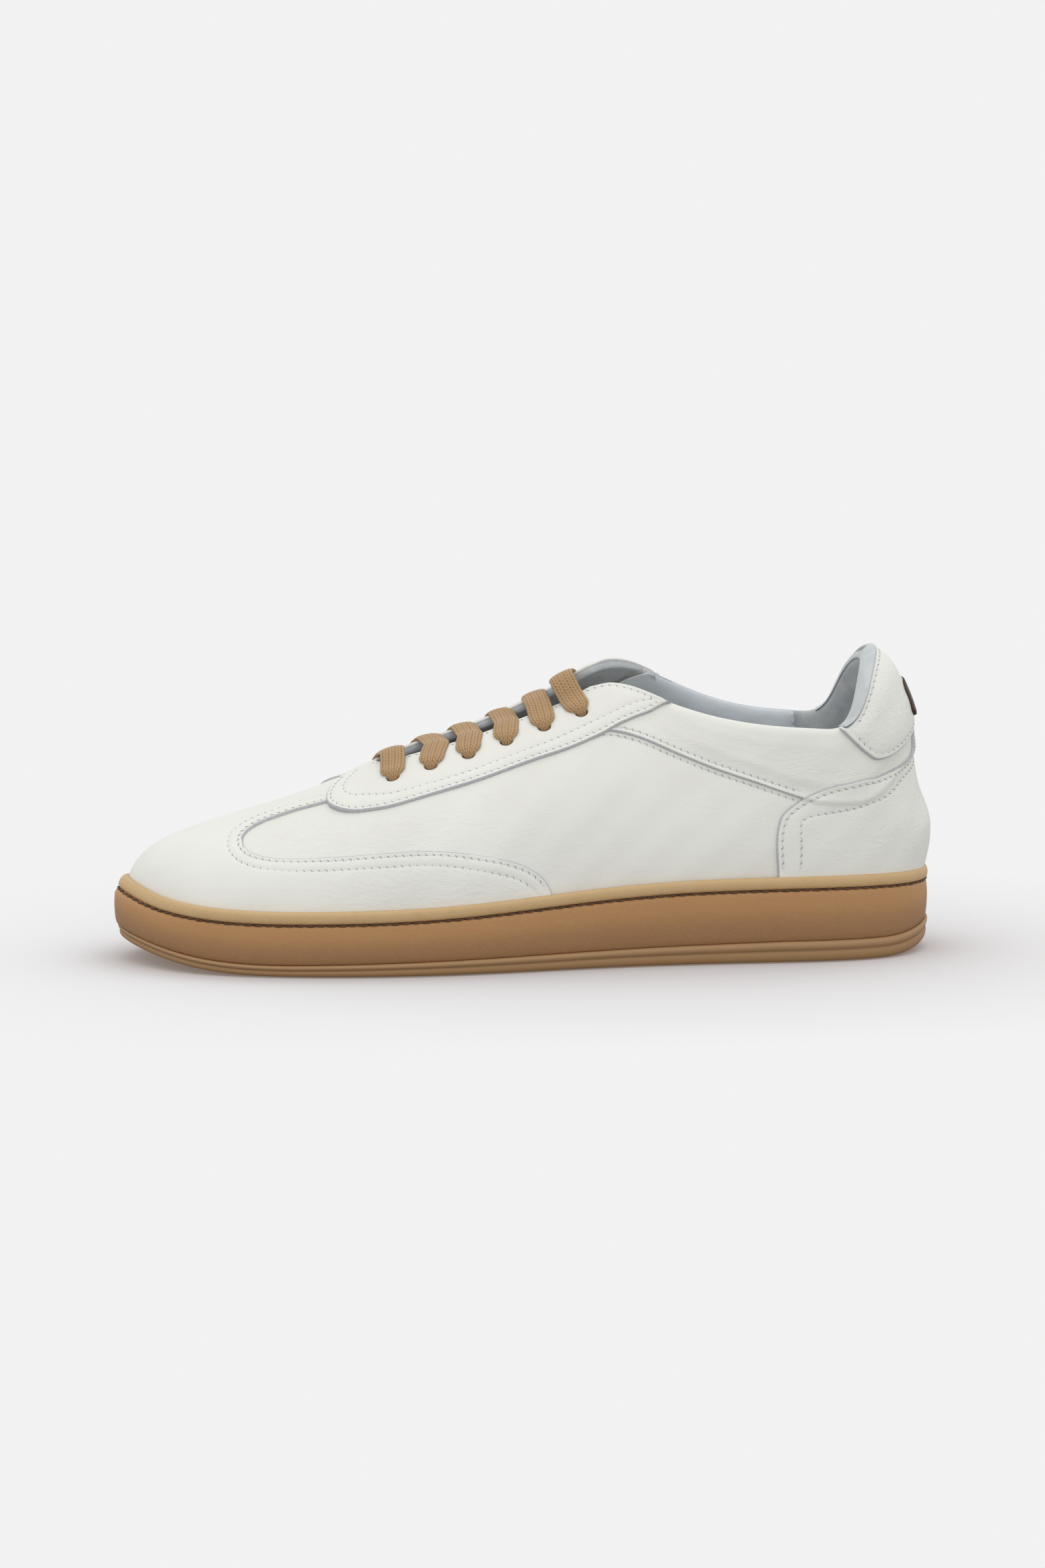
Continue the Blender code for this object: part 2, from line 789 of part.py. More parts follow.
def toe_puff_loop():
    """Toe stiffener with a strip that runs back along the ridge."""
    front = SIDE_FRONT - .008
    half = [(u, 0) for u in U_LINES if u < front]
    half += [(front, 0), (front, .86), (.298, .865), (.298, 1)]
    return toe_loop(half)


def collar_loop():
    """Upper quarter behind the eyestay up to the top line."""
    loop = [(.603, .69), *shifted(COLLAR_SEAM[1:], 0, .008)]
    loop += [(.803, .56), (.86, .56), (.93, .54), (.992, .54), (.992, .985)]
    loop += [(u, .985) for u in reversed(U_LINES) if .68 < u < .985]
    loop += [(.655, .985), (.645, .93), (.63, .84)]
    return loop


def counter_loop():
    half = [(u, 0) for u in U_LINES if u > .81]
    half = [(.808, 0), *half]
    back = [(1, .525), (.93, .525), (.86, .535), (.808, .535)]
    ring = half[:-1] + [(1, 0)]
    ring += [(2 - u, v) for u, v in reversed(half[:-1])]
    ring += [(2 - u, v) for u, v in reversed(back[1:])] + back
    return ring


def heel_overlay_loop():
    low = rim_edge(.763, 1, OVER_RIM)
    high = list(HEEL_FRONT)
    ring = low + [(2 - u, rim_v(u, -1, OVER_RIM)) for u, v in reversed(low[:-1])]
    ring += [(2 - u, v) for u, v in high] + [(1, .572)] + high[::-1]
    return ring


def heel_tab_loop():
    edge = list(TAB_EDGE)
    top = [(u, .985) for u in U_LINES if .87 < u <= 1]
    half = edge[::-1] + top
    ring = half + [(2 - u, v) for u, v in reversed(half[:-1])] + [(1, .61)]
    return ring


def badge_loop():
    u0, v0, v1 = .968, .70, .86
    cut_u, cut_v = .006, .02
    half = [(1, v0), (u0 + cut_u, v0), (u0, v0 + cut_v), (u0, v1 - cut_v),
            (u0 + cut_u, v1), (1, v1)]
    return half + [(2 - u, v) for u, v in reversed(half[1:-1])]


def eyestay_loop():
    half = [(.282, 1), *STAY_EDGE, *THROAT, (.345, 1)]
    return half + [(u, 2 - v) for u, v in reversed(half[1:-1])]


def stay_lining_loop():
    """Facing under the eyestay; the side panels stop in front of it."""
    edge = [(.312, .99), (.32, .75), (.34, .695), (.37, .665), (.437, .682),
            (.507, .703), (.559, .72), (.59, .75), (.606, .8), (.628, .9),
            (.645, .985)]
    half = [(.312, 1), *edge, *shifted(THROAT, .002, -.006), (.347, 1)]
    return half + [(u, 2 - v) for u, v in reversed(half[1:-1])]


def vamp_lining_loop():
    half = [(u, 0) for u in U_LINES if u < .36]
    half += [(.36, 0), (.36, .66), (.335, .68), (.315, .74), (.306, 1)]
    return toe_loop(half)


def quarter_lining_loop():
    loop = [(u, 0) for u in U_LINES if .37 < u < .78]
    loop = [(.364, 0), *loop, (.79, 0), (.79, .985)]
    loop += [(u, .985) for u in reversed(U_LINES) if .67 < u < .78]
    loop += [(.652, .985), (.635, .9), (.613, .8), (.597, .74), (.562, .71)]
    loop += [(.507, .692), (.437, .671), (.372, .654), (.364, .655)]
    return loop


def heel_lining_loop():
    half = [(.794, 0), *[(u, 0) for u in U_LINES if .8 < u <= 1]]
    top = [(.794, .985), *[(u, .985) for u in U_LINES if .8 < u <= 1]]
    ring = half + [(2 - u, v) for u, v in reversed(half[:-1])]
    ring += [(2 - u, v) for u, v in top] + top[::-1][1:]
    return ring


def foam_loop():
    low = [(.69, .57), *[(u, .57) for u in U_LINES if .7 < u <= 1]]
    top = [(.69, .96), *[(u, .96) for u in U_LINES if .7 < u <= 1]]
    ring = low + [(2 - u, v) for u, v in reversed(low[:-1])]
    ring += [(2 - u, v) for u, v in top] + top[::-1][1:]
    return ring


def eyelet_ring(u, v, side, radius):
    """Chart loop of a round hole punched square to the surface."""
    e = .004
    p = facet_point(u, v, side, 0)
    pu = (facet_point(u + e, v, side, 0) - p) / e
    pv = (facet_point(u, v + e, side, 0) - p) / e
    x = pu / np.linalg.norm(pu)
    n = np.cross(pu, pv)
    y = np.cross(n, x)
    y = y / np.linalg.norm(y)
    ring = []
    frame = np.array([[pu @ x, pv @ x], [pu @ y, pv @ y]])
    for k in range(HOLE_SIDES):
        a = math.tau * (k + .5) / HOLE_SIDES
        want = np.array([math.cos(a), math.sin(a)]) * radius
        du, dv = np.linalg.solve(frame, want)
        cv = v + dv
        ring.append((u + du, cv if side > 0 else 2 - cv))
    return ring


def eyelets(radius):
    return [eyelet_ring(u, v, side, radius)
            for side in (1, -1) for u, v in EYELETS]


# -------------------------------------------------------------------- tongue
CREST = .58                # the tongue runs on straight behind this station
UNDER_RIDGE = 6.6          # depth of the tongue below the ridge line
LAYER_GAP = .5             # gap between the layers of the tongue


def ridge_z(x):
    """Top of the raised tongue, below the instep ridge."""
    low, high = 0.0, 1.0
    for _ in range(30):
        mid = (low + high) / 2
        if TOP_X(mid) > x:
            low = mid
        else:
            high = mid
    crest_x = TOP_X(CREST)
    if x < crest_x:
        slope = (TOP_Z(CREST) - TOP_Z(.5)) / (crest_x - TOP_X(.5))
        return TOP_Z(CREST) + slope * (x - crest_x) - UNDER_RIDGE
    return TOP_Z(low) - UNDER_RIDGE


def tongue_bow(x):
    """How quickly the tongue falls to its sides."""
    t = min(max((HINGE_X - x) / 85, 0), 1)
    return .0175 + .0075 * t


def tongue_half(x):
    """Half width of the tongue."""
    t = (HINGE_X - x) / (HINGE_X - TONGUE_END)
    width = 11.5 + 5.5 * min(t * 1.7, 1)
    if t > .9:
        width -= 6 * ((t - .9) / .1) ** 2
    return width


def tongue_frame(x, y):
    """Base point and upward normal of the raised tongue."""
    rise = (ridge_z(x + 1) - ridge_z(x - 1)) / 2
    base = np.array([x, y + CENTRE_Y(x), ridge_z(x) - tongue_bow(x) * y * y])
    n = np.array([-rise, 2 * tongue_bow(x) * y, 1])
    return base, n / np.linalg.norm(n)


def tongue_slab(name, top, depth, trim, material, hinge):
    """Curved slab of the tongue, raised pose, measured from the hinge."""
    rows, cols = 9, 6
    front = HINGE_X - 1 - trim
    length = front - TONGUE_END - trim
    origin = np.array([HINGE_X, 0, HINGE_Z])
    upper, lower = [], []
    for r in range(rows + 1):
        x = front - length * r / rows
        half = tongue_half(x) - trim
        for c in range(cols + 1):
            base, n = tongue_frame(x, half * (2 * c / cols - 1))
            upper.append(base - n * top - origin)
            lower.append(base - n * (top + depth) - origin)
    step = cols + 1
    count = len(upper)
    faces = []
    for r in range(rows):
        for c in range(cols):
            a = r * step + c
            quad = (a, a + 1, a + step + 1, a + step)
            low = [k + count for k in quad]
            faces.append((quad[0], quad[1], quad[2]))
            faces.append((quad[0], quad[2], quad[3]))
            faces.append((low[2], low[1], low[0]))
            faces.append((low[3], low[2], low[0]))
    border = [r * step for r in range(rows + 1)]
    border += [rows * step + c for c in range(1, step)]
    border += [r * step + cols for r in range(rows - 1, -1, -1)]
    border += [c for c in range(cols - 1, 0, -1)]
    for k in range(len(border)):
        a, b = border[k], border[(k + 1) % len(border)]
        faces.append((a, b, b + count, a + count))
    obj = add_object(name, upper + lower, faces, material)
    obj.parent = hinge
    return obj


def make_tongue(leather, foam, cloth):
    """Three layers on one hinge at the front of the throat."""
    hinge = bpy.data.objects.new("tongue_hinge", None)
    hinge.location = Vector((HINGE_X, 0, HINGE_Z)) * MM
    hinge.rotation_euler = (0, -math.radians(TONGUE_DROP), 0)
    bpy.context.scene.collection.objects.link(hinge)
    foam_top = TONGUE_FACE + LAYER_GAP
    back_top = foam_top + TONGUE_FOAM + LAYER_GAP
    tongue_slab("tongue_face", 0, TONGUE_FACE, 0, leather, hinge)
    tongue_slab("tongue_padding", foam_top, TONGUE_FOAM, 2, foam, hinge)
    tongue_slab("tongue_lining", back_top, TONGUE_BACK, .5, cloth, hinge)


# ---------------------------------------------------------------------- lace
SECTION = ((1, 0), (.75, 1), (-.75, 1), (-1, 0), (-.75, -1), (.75, -1))
THIN = (1.5, 1.35)         # half sizes of the lace inside an eyelet
HIDDEN = (1.6, .95)        # half sizes of a hidden run
TIP = (1.4, 1.3)           # half sizes of a lace tip
BYPASS = .054              # hidden runs pass a middle eyelet at this height


def frame_at(u, v, side):
    """Point, outward normal, along and rising directions of the last."""
    e = .004
    p = facet_point(u, v, side, 0)
    n = last_normal(u, min(v, .995), side)
    along = facet_point(u + e, v, side, 0) - facet_point(u - e, v, side, 0)
    along = along - n * (along @ n)
    along = along / np.linalg.norm(along)
    rise = np.cross(n, along)
    if rise @ (facet_point(u, v + e, side, 0) - p) < 0:
        rise = -rise
    return p, n, along, rise


def through_eyelet(row, side, heading):
    """Lace stations from the bar down to the hidden side.

    A station is centre, width direction, half width, half thickness.
    """
    u, v = EYELETS[row]
    p, n, along, rise = frame_at(u, v, side)
    turn = along * heading[0] + rise * heading[1]
    turn = turn / np.linalg.norm(turn)
    flat = rise if abs(heading[0]) > abs(heading[1]) else along
    return [
        (p + n * (LACE_TOP + .15) + rise * 3.2, along, 3.2, .8),
        (p + n * (LACE_TOP + .2) + rise * 1.0, along, 1.9, 1.0),
        (p + n * 1.0, along, *THIN),
        (p - n * 2.5, along, *THIN),
        (p + n * LACE_RUN + turn * 1.9, flat, *HIDDEN),
    ]


def bar(row, side):
    """Lace bar across the throat, starting on the given side."""
    u, v = EYELETS[row]
    levels = (v + .055, .88, .965)
    steps = [(level, side) for level in levels]
    steps += [(level, -side) for level in reversed(levels)]
    result = []
    for level, this_side in steps:
        p, n, along, _ = frame_at(u, level, this_side)
        result.append((p + n * LACE_TOP, along, LACE_W, LACE_T))
    return result


def hidden_run(row0, row1, side, step):
    """Hidden lace from one row to another, stepping round a middle row."""
    if abs(row1 - row0) < 2:
        return []
    u, v = EYELETS[(row0 + row1) // 2]
    sign = 1 if row1 > row0 else -1
    result = []
    for du in (-.014, .014):
        p, n, _, rise = frame_at(u + du * sign, v + step, side)
        result.append((p + n * LACE_RUN, rise, *HIDDEN))
    return result


def loose_end(row, side):
    """Loose lace end that lies down the inside of the upper."""
    u, v = EYELETS[row]
    result = []
    for part in (.45, 1):
        p, n, along, _ = frame_at(u, v - LOOSE * part, side)
        result.append((p + n * (LACE_RUN - .3), along, *HIDDEN))
    return result


def lace_path():
    """Straight bar lacing from the rear medial end to the other end."""
    order = (
        # row, start side, row reached under the far side, step
        (5, -1, 3, BYPASS),
        (3, 1, 1, BYPASS),
        (1, -1, 0, 0),
        (0, 1, 2, -BYPASS),
        (2, -1, 4, -BYPASS),
        (4, 1, None, 0),
    )
    path = loose_end(5, -1)[::-1]
    came_from = (0, -1)
    for row, side, goal, step in order:
        path += through_eyelet(row, side, came_from)[::-1]
        path += bar(row, side)
        if goal is None:
            path += through_eyelet(row, -side, (0, -1))
            path += loose_end(row, -side)
            break
        sign = 1 if goal > row else -1
        lean = .3 * step / BYPASS
        path += through_eyelet(row, -side, (sign, lean))
        path += hidden_run(row, goal, -side, step)
        came_from = (-sign, lean)
    return path


def lace_rings(path):
    """Cross sections with the least twist between neighbours."""
    rings = []
    for k, (centre, wide, half_w, half_t) in enumerate(path):
        before = path[max(k - 1, 0)][0]
        after = path[min(k + 1, len(path) - 1)][0]
        tangent = after - before
        tangent = tangent / np.linalg.norm(tangent)
        a = wide - tangent * (wide @ tangent)
        a = a / np.linalg.norm(a)
        b = np.cross(tangent, a)
        spokes = [a * x * half_w + b * y * half_t for x, y in SECTION]
        if rings:
            last = rings[-1][1]
            turns = [spokes[s:] + spokes[:s] for s in range(len(SECTION))]
            spokes = min(turns, key=lambda t: sum(
                float((p - q) @ (p - q)) for p, q in zip(t, last)))
        rings.append((centre, spokes))
    return rings


def tube(name, rings, material):
    """Closed tube through the rings."""
    verts = [c + s for c, spokes in rings for s in spokes]
    sides = len(SECTION)
    faces = []
    for r in range(len(rings) - 1):
        for k in range(sides):
            m = (k + 1) % sides
            a = r * sides
            b = a + sides
            faces.append((a + k, a + m, b + m))
            faces.append((a + k, b + m, b + k))
    end = (len(rings) - 1) * sides
    for k in range(1, sides - 1):
        faces.append((0, k + 1, k))
        faces.append((end, end + k, end + k + 1))
    return add_object(name, verts, faces, material)


def tip_stations(ring, row):
    """Lace tip that carries on inward and down from a loose end."""
    u, v = EYELETS[row]
    p, n, along, rise = frame_at(u, v - LOOSE, -1)
    way = -rise - n * .22
    way = way / np.linalg.norm(way)
    start = ring[0] + way * 1.1
    return [(start, along, *TIP), (start + way * AGLET, along, *TIP)]


def make_lace(fabric, tip):
    """One continuous lace and its two tips."""
    rings = lace_rings(lace_path())
    tube("lace", rings, fabric)
    tube("lace_tip_rear", lace_rings(tip_stations(rings[0], 5)), tip)
    tube("lace_tip_front", lace_rings(tip_stations(rings[-1], 4)), tip)


# ----------------------------------------------------------------- materials
def surface(name, colour, roughness, metallic=0.0):
    """Principled material; colour is linear red, green, blue."""
    material = bpy.data.materials.new(name)
    material.use_nodes = True
    shader = material.node_tree.nodes["Principled BSDF"]
    shader.inputs["Base Color"].default_value = (*colour, 1)
    shader.inputs["Roughness"].default_value = roughness
    shader.inputs["Metallic"].default_value = metallic
    material.diffuse_color = (*colour, 1)
    return material


def materials():
    """Every material of the shoe by its use."""
    return {
        "leather": surface("white_leather", (.82, .80, .76), .5),
        "gum": surface("gum_rubber", (.50, .29, .13), .55),
        "gum_dark": surface("gum_tread", (.55, .34, .17), .5),
        "thread": surface("brown_thread", (.05, .025, .015), .8),
        "foam": surface("foam", (.75, .72, .62), .9),
        "fibre": surface("fibre_board", (.42, .33, .22), .9),
        "cloth": surface("grey_lining", (.42, .45, .49), .85),
        "suede": surface("grey_suede", (.30, .31, .33), .95),
        "badge": surface("brown_leather", (.10, .05, .03), .6),
        "stiffener": surface("stiffener", (.70, .66, .58), .8),
        "lace": surface("tan_lace", (.55, .43, .30), .9),
        "tip": surface("lace_tip", (.60, .50, .38), .35),
        "footbed": surface("footbed", (.62, .60, .55), .9),
    }


def make_sole(m):
    """Everything below the upper."""
    make_outsole(m["gum_dark"])
    make_cupsole(m["gum"])
    make_sole_stitch(m["thread"])
    make_filler(m["foam"])
    make_board(m["fibre"])
    make_footbed(m["footbed"])


def make_upper(m):
    """Leather panels, stiffeners and linings."""
    base = (-LEATHER, 0)
    over = (OVER_IN, OVER_OUT)
    panel("toe_overlay", toe_overlay_loop(), *over, m["leather"])
    panel("toe_puff", toe_puff_loop(), *base, m["stiffener"])
    side = side_loop()
    flip = [(u, 2 - v) for u, v in reversed(side)]
    panel("side_panel_lateral", side, *base, m["leather"])
    panel("side_panel_medial", flip, *base, m["leather"])
    collar = collar_loop()
    panel("collar_panel_lateral", collar, *base, m["leather"])
    panel("collar_panel_medial", mirror_u(collar), *base, m["leather"])
    panel("heel_counter", counter_loop(), *base, m["stiffener"])
    panel("heel_overlay", heel_overlay_loop(), *over, m["leather"])
    panel("heel_tab", heel_tab_loop(), *over, m["leather"])
    panel("heel_badge", badge_loop(), OVER_OUT + .35, BADGE_OUT, m["badge"])
    panel("eyestay", eyestay_loop(), *over, m["leather"], eyelets(HOLE_R))
    panel("eyestay_lining", stay_lining_loop(), LINING_LOW, 0, m["suede"],
          eyelets(HOLE_R))
    panel("vamp_lining", vamp_lining_loop(), LINING_LOW, LINING_TOP,
          m["cloth"])
    quarter = quarter_lining_loop()
    panel("quarter_lining_lateral", quarter, lining_low, lining_top,
          m["cloth"])
    panel("quarter_lining_medial", mirror_u(quarter), lining_low, lining_top,
          m["cloth"])
    panel("heel_lining", heel_lining_loop(), lining_low, lining_top,
          m["suede"])
    panel("collar_padding", foam_loop(), foam_low, LINING_TOP, m["foam"])


def main():
    for obj in list(bpy.data.objects):
        bpy.data.objects.remove(obj, do_unlink=True)
    m = materials()
    make_sole(m)
    make_upper(m)
    make_tongue(m["leather"], m["foam"], m["cloth"])
    make_lace(m["lace"], m["tip"])


main()
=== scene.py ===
"""Looks of the left court shoe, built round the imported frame.

The upper is drawn on one smooth last surface. A chart point (u, v) runs from
the toe (u = 0) to the heel (u = 1) and from the sole (v = 0) to the top line
(v = 1); v above 1, u above 1 and u below 0 fold over to the medial side.
Design lengths are in millimetres and MM scales them to the frame.
"""

import json
import math

import bmesh
import bpy
import numpy as np
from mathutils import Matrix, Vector
from mathutils.geometry import delaunay_2d_cdt
from mathutils.kdtree import KDTree


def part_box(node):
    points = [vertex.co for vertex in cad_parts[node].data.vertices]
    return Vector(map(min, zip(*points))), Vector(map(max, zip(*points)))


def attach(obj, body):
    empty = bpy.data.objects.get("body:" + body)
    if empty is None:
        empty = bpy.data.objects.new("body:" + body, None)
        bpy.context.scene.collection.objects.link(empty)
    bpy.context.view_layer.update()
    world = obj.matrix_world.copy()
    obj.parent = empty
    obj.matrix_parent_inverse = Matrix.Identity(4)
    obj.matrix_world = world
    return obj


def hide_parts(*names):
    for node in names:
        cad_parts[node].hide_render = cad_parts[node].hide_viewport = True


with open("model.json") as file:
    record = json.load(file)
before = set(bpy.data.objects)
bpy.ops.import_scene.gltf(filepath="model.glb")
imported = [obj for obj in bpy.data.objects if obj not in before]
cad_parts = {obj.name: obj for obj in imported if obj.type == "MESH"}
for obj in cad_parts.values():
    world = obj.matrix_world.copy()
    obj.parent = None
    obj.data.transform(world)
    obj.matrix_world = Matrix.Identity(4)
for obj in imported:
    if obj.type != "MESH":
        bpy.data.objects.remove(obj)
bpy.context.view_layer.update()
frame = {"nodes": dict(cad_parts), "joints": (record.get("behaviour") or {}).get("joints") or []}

SHOE_LENGTH = 299.8
SOLE_LOW, SOLE_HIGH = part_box("cupsole")
MM = (SOLE_HIGH.x - SOLE_LOW.x) / SHOE_LENGTH

# --------------------------------------------------------------- dimensions
FINE = 1.35                # point spacing of visible leather
MEDIUM = 2.2               # point spacing of linings
COARSE = 4.5               # point spacing of hidden layers
EDGE_STEP = .8             # point spacing along cut edges
PITCH = 2.7                # stitch spacing
ROW_ONE = 1.7              # first stitch row from a cut edge
ROW_TWO = 5.6              # second stitch row
TUCK = 8.0                 # the upper reaches this far below the cup rim
DIP = -2.0                 # visible leather ends this far below the rim
OVER = 1.4                 # outer face of overlays above the main leather
LAP = 1.05                 # outer face of the collar panel at its seam
FOLD = .56                 # width of the rounding of a cut edge
RAW = FOLD * 1.15          # faces inside this reach show bare fibre
ROLL = 2.2                 # width of the rounding of the top line
BACKING = -1.9             # meeting face of leather and lining
LINING = -2.6              # inner face of the lining
STRETCH = np.array([346.0, 92.0])   # chart to millimetres, on average
TOP_EDGE = .985            # chart height of the top line
HINGE = Vector(next(j for j in frame["joints"]
                    if j["name"] == "tongue_hinge")["pos_m"]) / MM

OUTLINE = (
    (150, -4), (141, 19), (125, 36), (100, 47.5), (72, 53), (45, 54),
    (10, 50), (-25, 43.5), (-60, 40), (-95, 39.2), (-120, 36), (-138, 26.5),
    (-147.5, 12.5), (-150, -1), (-147.5, -14.5), (-138, -27.5),
    (-118, -36), (-90, -38), (-55, -36), (-20, -36.5), (15, -43),
    (45, -50.5), (72, -54), (98, -52), (122, -43), (140, -27),
)
HEEL_KEY = 13


# ------------------------------------------------------------------ splines
def spline(keys):
    """Natural cubic spline through (position, value) keys, for arrays."""
    t = np.array([k[0] for k in keys], float)
    v = np.array([k[1] for k in keys], float)
    n = len(t)
    h = np.diff(t)
    a = np.eye(n)
    b = np.zeros(n)
    for i in range(1, n - 1):
        a[i, i - 1:i + 2] = h[i - 1], 2 * (h[i - 1] + h[i]), h[i]
        b[i] = 6 * ((v[i + 1] - v[i]) / h[i] - (v[i] - v[i - 1]) / h[i - 1])
    m = np.linalg.solve(a, b)

    def at(x):
        x = np.clip(np.asarray(x, float), t[0], t[-1])
        i = np.clip(np.searchsorted(t, x) - 1, 0, n - 2)
        d, e = x - t[i], t[i + 1] - x
        return ((m[i] * e ** 3 + m[i + 1] * d ** 3) / (6 * h[i])
                + (v[i] / h[i] - m[i] * h[i] / 6) * e
                + (v[i + 1] / h[i] - m[i + 1] * h[i] / 6) * d)
    return at


def even(keys):
    """Spline on 0..1 mirrored about both ends."""
    head = [(-k[0], k[1]) for k in reversed(keys) if 0 < k[0] < .35]
    tail = [(2 - k[0], k[1]) for k in reversed(keys) if .65 < k[0] < 1]
    return spline(head + list(keys) + tail)


def odd_heel(keys):
    """Spline on 0..1 that changes sign past the heel."""
    tail = [(2 - k[0], -k[1]) for k in reversed(keys) if .65 < k[0] < 1]
    return spline(list(keys) + tail)


def closed_outline():
    """Arc length splines of the plan outline."""
    keys = list(OUTLINE)
    loop = keys[-4:] + keys + keys[:5]
    s = [0.0]
    for p, q in zip(loop, loop[1:]):
        s.append(s[-1] + math.dist(p, q))
    s = [value - s[4] for value in s]
    fx = spline([(a, p[0]) for a, p in zip(s, loop)])
    fy = spline([(a, p[1]) for a, p in zip(s, loop)])
    return fx, fy, s[4 + HEEL_KEY], s[4 + len(keys)]


FX, FY, S_HEEL, S_ALL = closed_outline()
RIM_Z = spline([(-150, 30.2), (-130, 30.9), (-90, 31.1), (-44, 30),
                (-10, 27.8), (21, 25.4), (45, 24.1), (80, 23.3), (118, 23.9),
                (131, 25.2), (139, 26.7), (150, 30.8)])
CENTRE_Y = spline([(-150, -1), (-60, -1), (0, -2), (80, -3), (120, -3)])
INSET = even([(0, 6.2), (.1, 5.8), (.3, 5), (.6, 4.4), (.85, 4.4), (1, 4.6)])
TOP_X = even([(0, 116), (.08, 113.5), (.16, 103), (.25, 82), (.35, 52),
              (.45, 19), (.55, -14), (.62, -37), (.67, -53), (.75, -79),
              (.83, -104), (.89, -119), (.94, -126.5), (1, -130)])
TOP_Y = odd_heel([(0, 0), (.2, 0), (.4, 0), (.5, 0), (.56, 1), (.61, 5),
                  (.65, 11.5), (.69, 18.5), (.75, 25.5), (.82, 29.5),
                  (.87, 28.5), (.92, 22), (.96, 12), (1, 0)])
TOP_Z = even([(0, 47.6), (.08, 48.4), (.16, 51.5), (.25, 57.6), (.3, 63.2),
              (.35, 70.4), (.4, 76.2), (.45, 81), (.5, 86.8), (.55, 93),
              (.6, 98), (.64, 96.3), (.67, 93), (.71, 89.2), (.75, 86.8),
              (.79, 85.5), (.83, 84.8), (.86, 85), (.885, 88.5), (.91, 95.5),
              (.94, 104), (.97, 109.3), (1, 110.8)])
SWELL_OUT = even([(0, 1.5), (.1, 1.5), (.3, 2.8), (.5, 3.8), (.65, 3.8),
                  (.8, 4.5), (.9, 6.5), (1, 8)])
SWELL_UP = even([(0, 16), (.1, 16), (.2, 18), (.3, 23), (.4, 28), (.5, 32),
                 (.6, 32), (.7, 28), (.8, 22), (.9, 23), (1, 24)])
CROWN_OUT = even([(0, 18), (.1, 20), (.2, 23), (.3, 26), (.4, 27), (.5, 24),
                  (.58, 18), (.64, 9), (.7, 3.5), (.8, 1.5), (.87, 3),
                  (.93, 11), (1, 16)])
CROWN_UP = even([(0, 0), (.3, 0), (.5, -2), (.58, -5), (.64, -10), (.7, -15),
                 (.8, -18), (.87, -20), (.93, -18), (1, -16)])
# the medial top line stands this much higher along the instep and ankle
MEDIAL_RISE = spline([(.345, 0), (.4, 1.5), (.46, 2.6), (.5, 3.6), (.55, 5.8),
                      (.6, 7.8), (.64, 7.8), (.68, 6.2), (.72, 3.8),
                      (.76, 1.7), (.8, .5), (.84, 0)])
# how far the back of the heel leans out at each height
HEEL_FORM = spline([(20, 0), (34, .3), (41, .9), (47, .6), (52, -.9),
                    (58, -2.7), (64, -3.7), (70, -3.4), (78, -2.5),
                    (88, -2.2), (98, -2.6), (106, -3), (112, -3)])


# ------------------------------------------------------------- last surface
def unit(p):
    return p / np.maximum(np.linalg.norm(p, axis=-1, keepdims=True), 1e-12)


def outline(u, side):
    """Plan points and inward unit normals."""
    s = np.where(side > 0, u * S_HEEL, S_ALL - u * (S_ALL - S_HEEL))
    tangent = np.stack([FX(s + .01) - FX(s - .01), FY(s + .01) - FY(s - .01)],
                       -1)
    tangent = unit(tangent)
    inward = np.stack([-tangent[..., 1], tangent[..., 0]], -1)
    return np.stack([FX(s), FY(s)], -1), inward


def crown_slope(u):
    a = np.where(u > .02, u - .001, .04)
    b = np.where(u > .02, u + .001, .06)
    return (TOP_Z(b) - TOP_Z(a)) / (TOP_X(b) - TOP_X(a))


def fold(u, v):
    """Chart points to u and v inside 0..1 and the side, +1 lateral."""
    u, v = np.broadcast_arrays(np.asarray(u, float), np.asarray(v, float))
    side = np.where(v > 1, -1, 1) * np.where((u > 1) | (u < 0), -1, 1)
    v = np.where(v > 1, 2 - v, v)
    u = np.where(u > 1, 2 - u, np.abs(u))
    return u, v, side


def last(u, v):
    """Outer surface of the main leather, in design millimetres."""
    u, v, side = fold(u, v)
    plan, inward = outline(u, side)
    foot = plan + inward * INSET(u)[..., None]
    start = np.concatenate([foot, (RIM_Z(foot[..., 0]) - TUCK)[..., None]],
                           -1)
    x = TOP_X(u)
    end = np.stack([x, CENTRE_Y(x) + side * TOP_Y(u),
                    TOP_Z(u) + np.where(side < 0, MEDIAL_RISE(u), 0)], -1)
    out = unit(start[..., :2] - end[..., :2])
    p1 = start + np.concatenate([out * SWELL_OUT(u)[..., None],
                                 SWELL_UP(u)[..., None]], -1)
    front = np.clip((.6 - u) / .1, 0, 1)
    lift = front * crown_slope(u) * out[..., 0] * CROWN_OUT(u)
    p2 = end + np.concatenate([out * CROWN_OUT(u)[..., None],
                               (CROWN_UP(u) + lift)[..., None]], -1)
    v = v[..., None]
    w = 1 - v
    p = (w ** 3 * start + 3 * w * w * v * p1 + 3 * w * v * v * p2
         + v ** 3 * end)
    back = np.clip((u - .84) / .1, 0, 1)
    p[..., 0] -= back * back * (3 - 2 * back) * HEEL_FORM(p[..., 2])
    return p


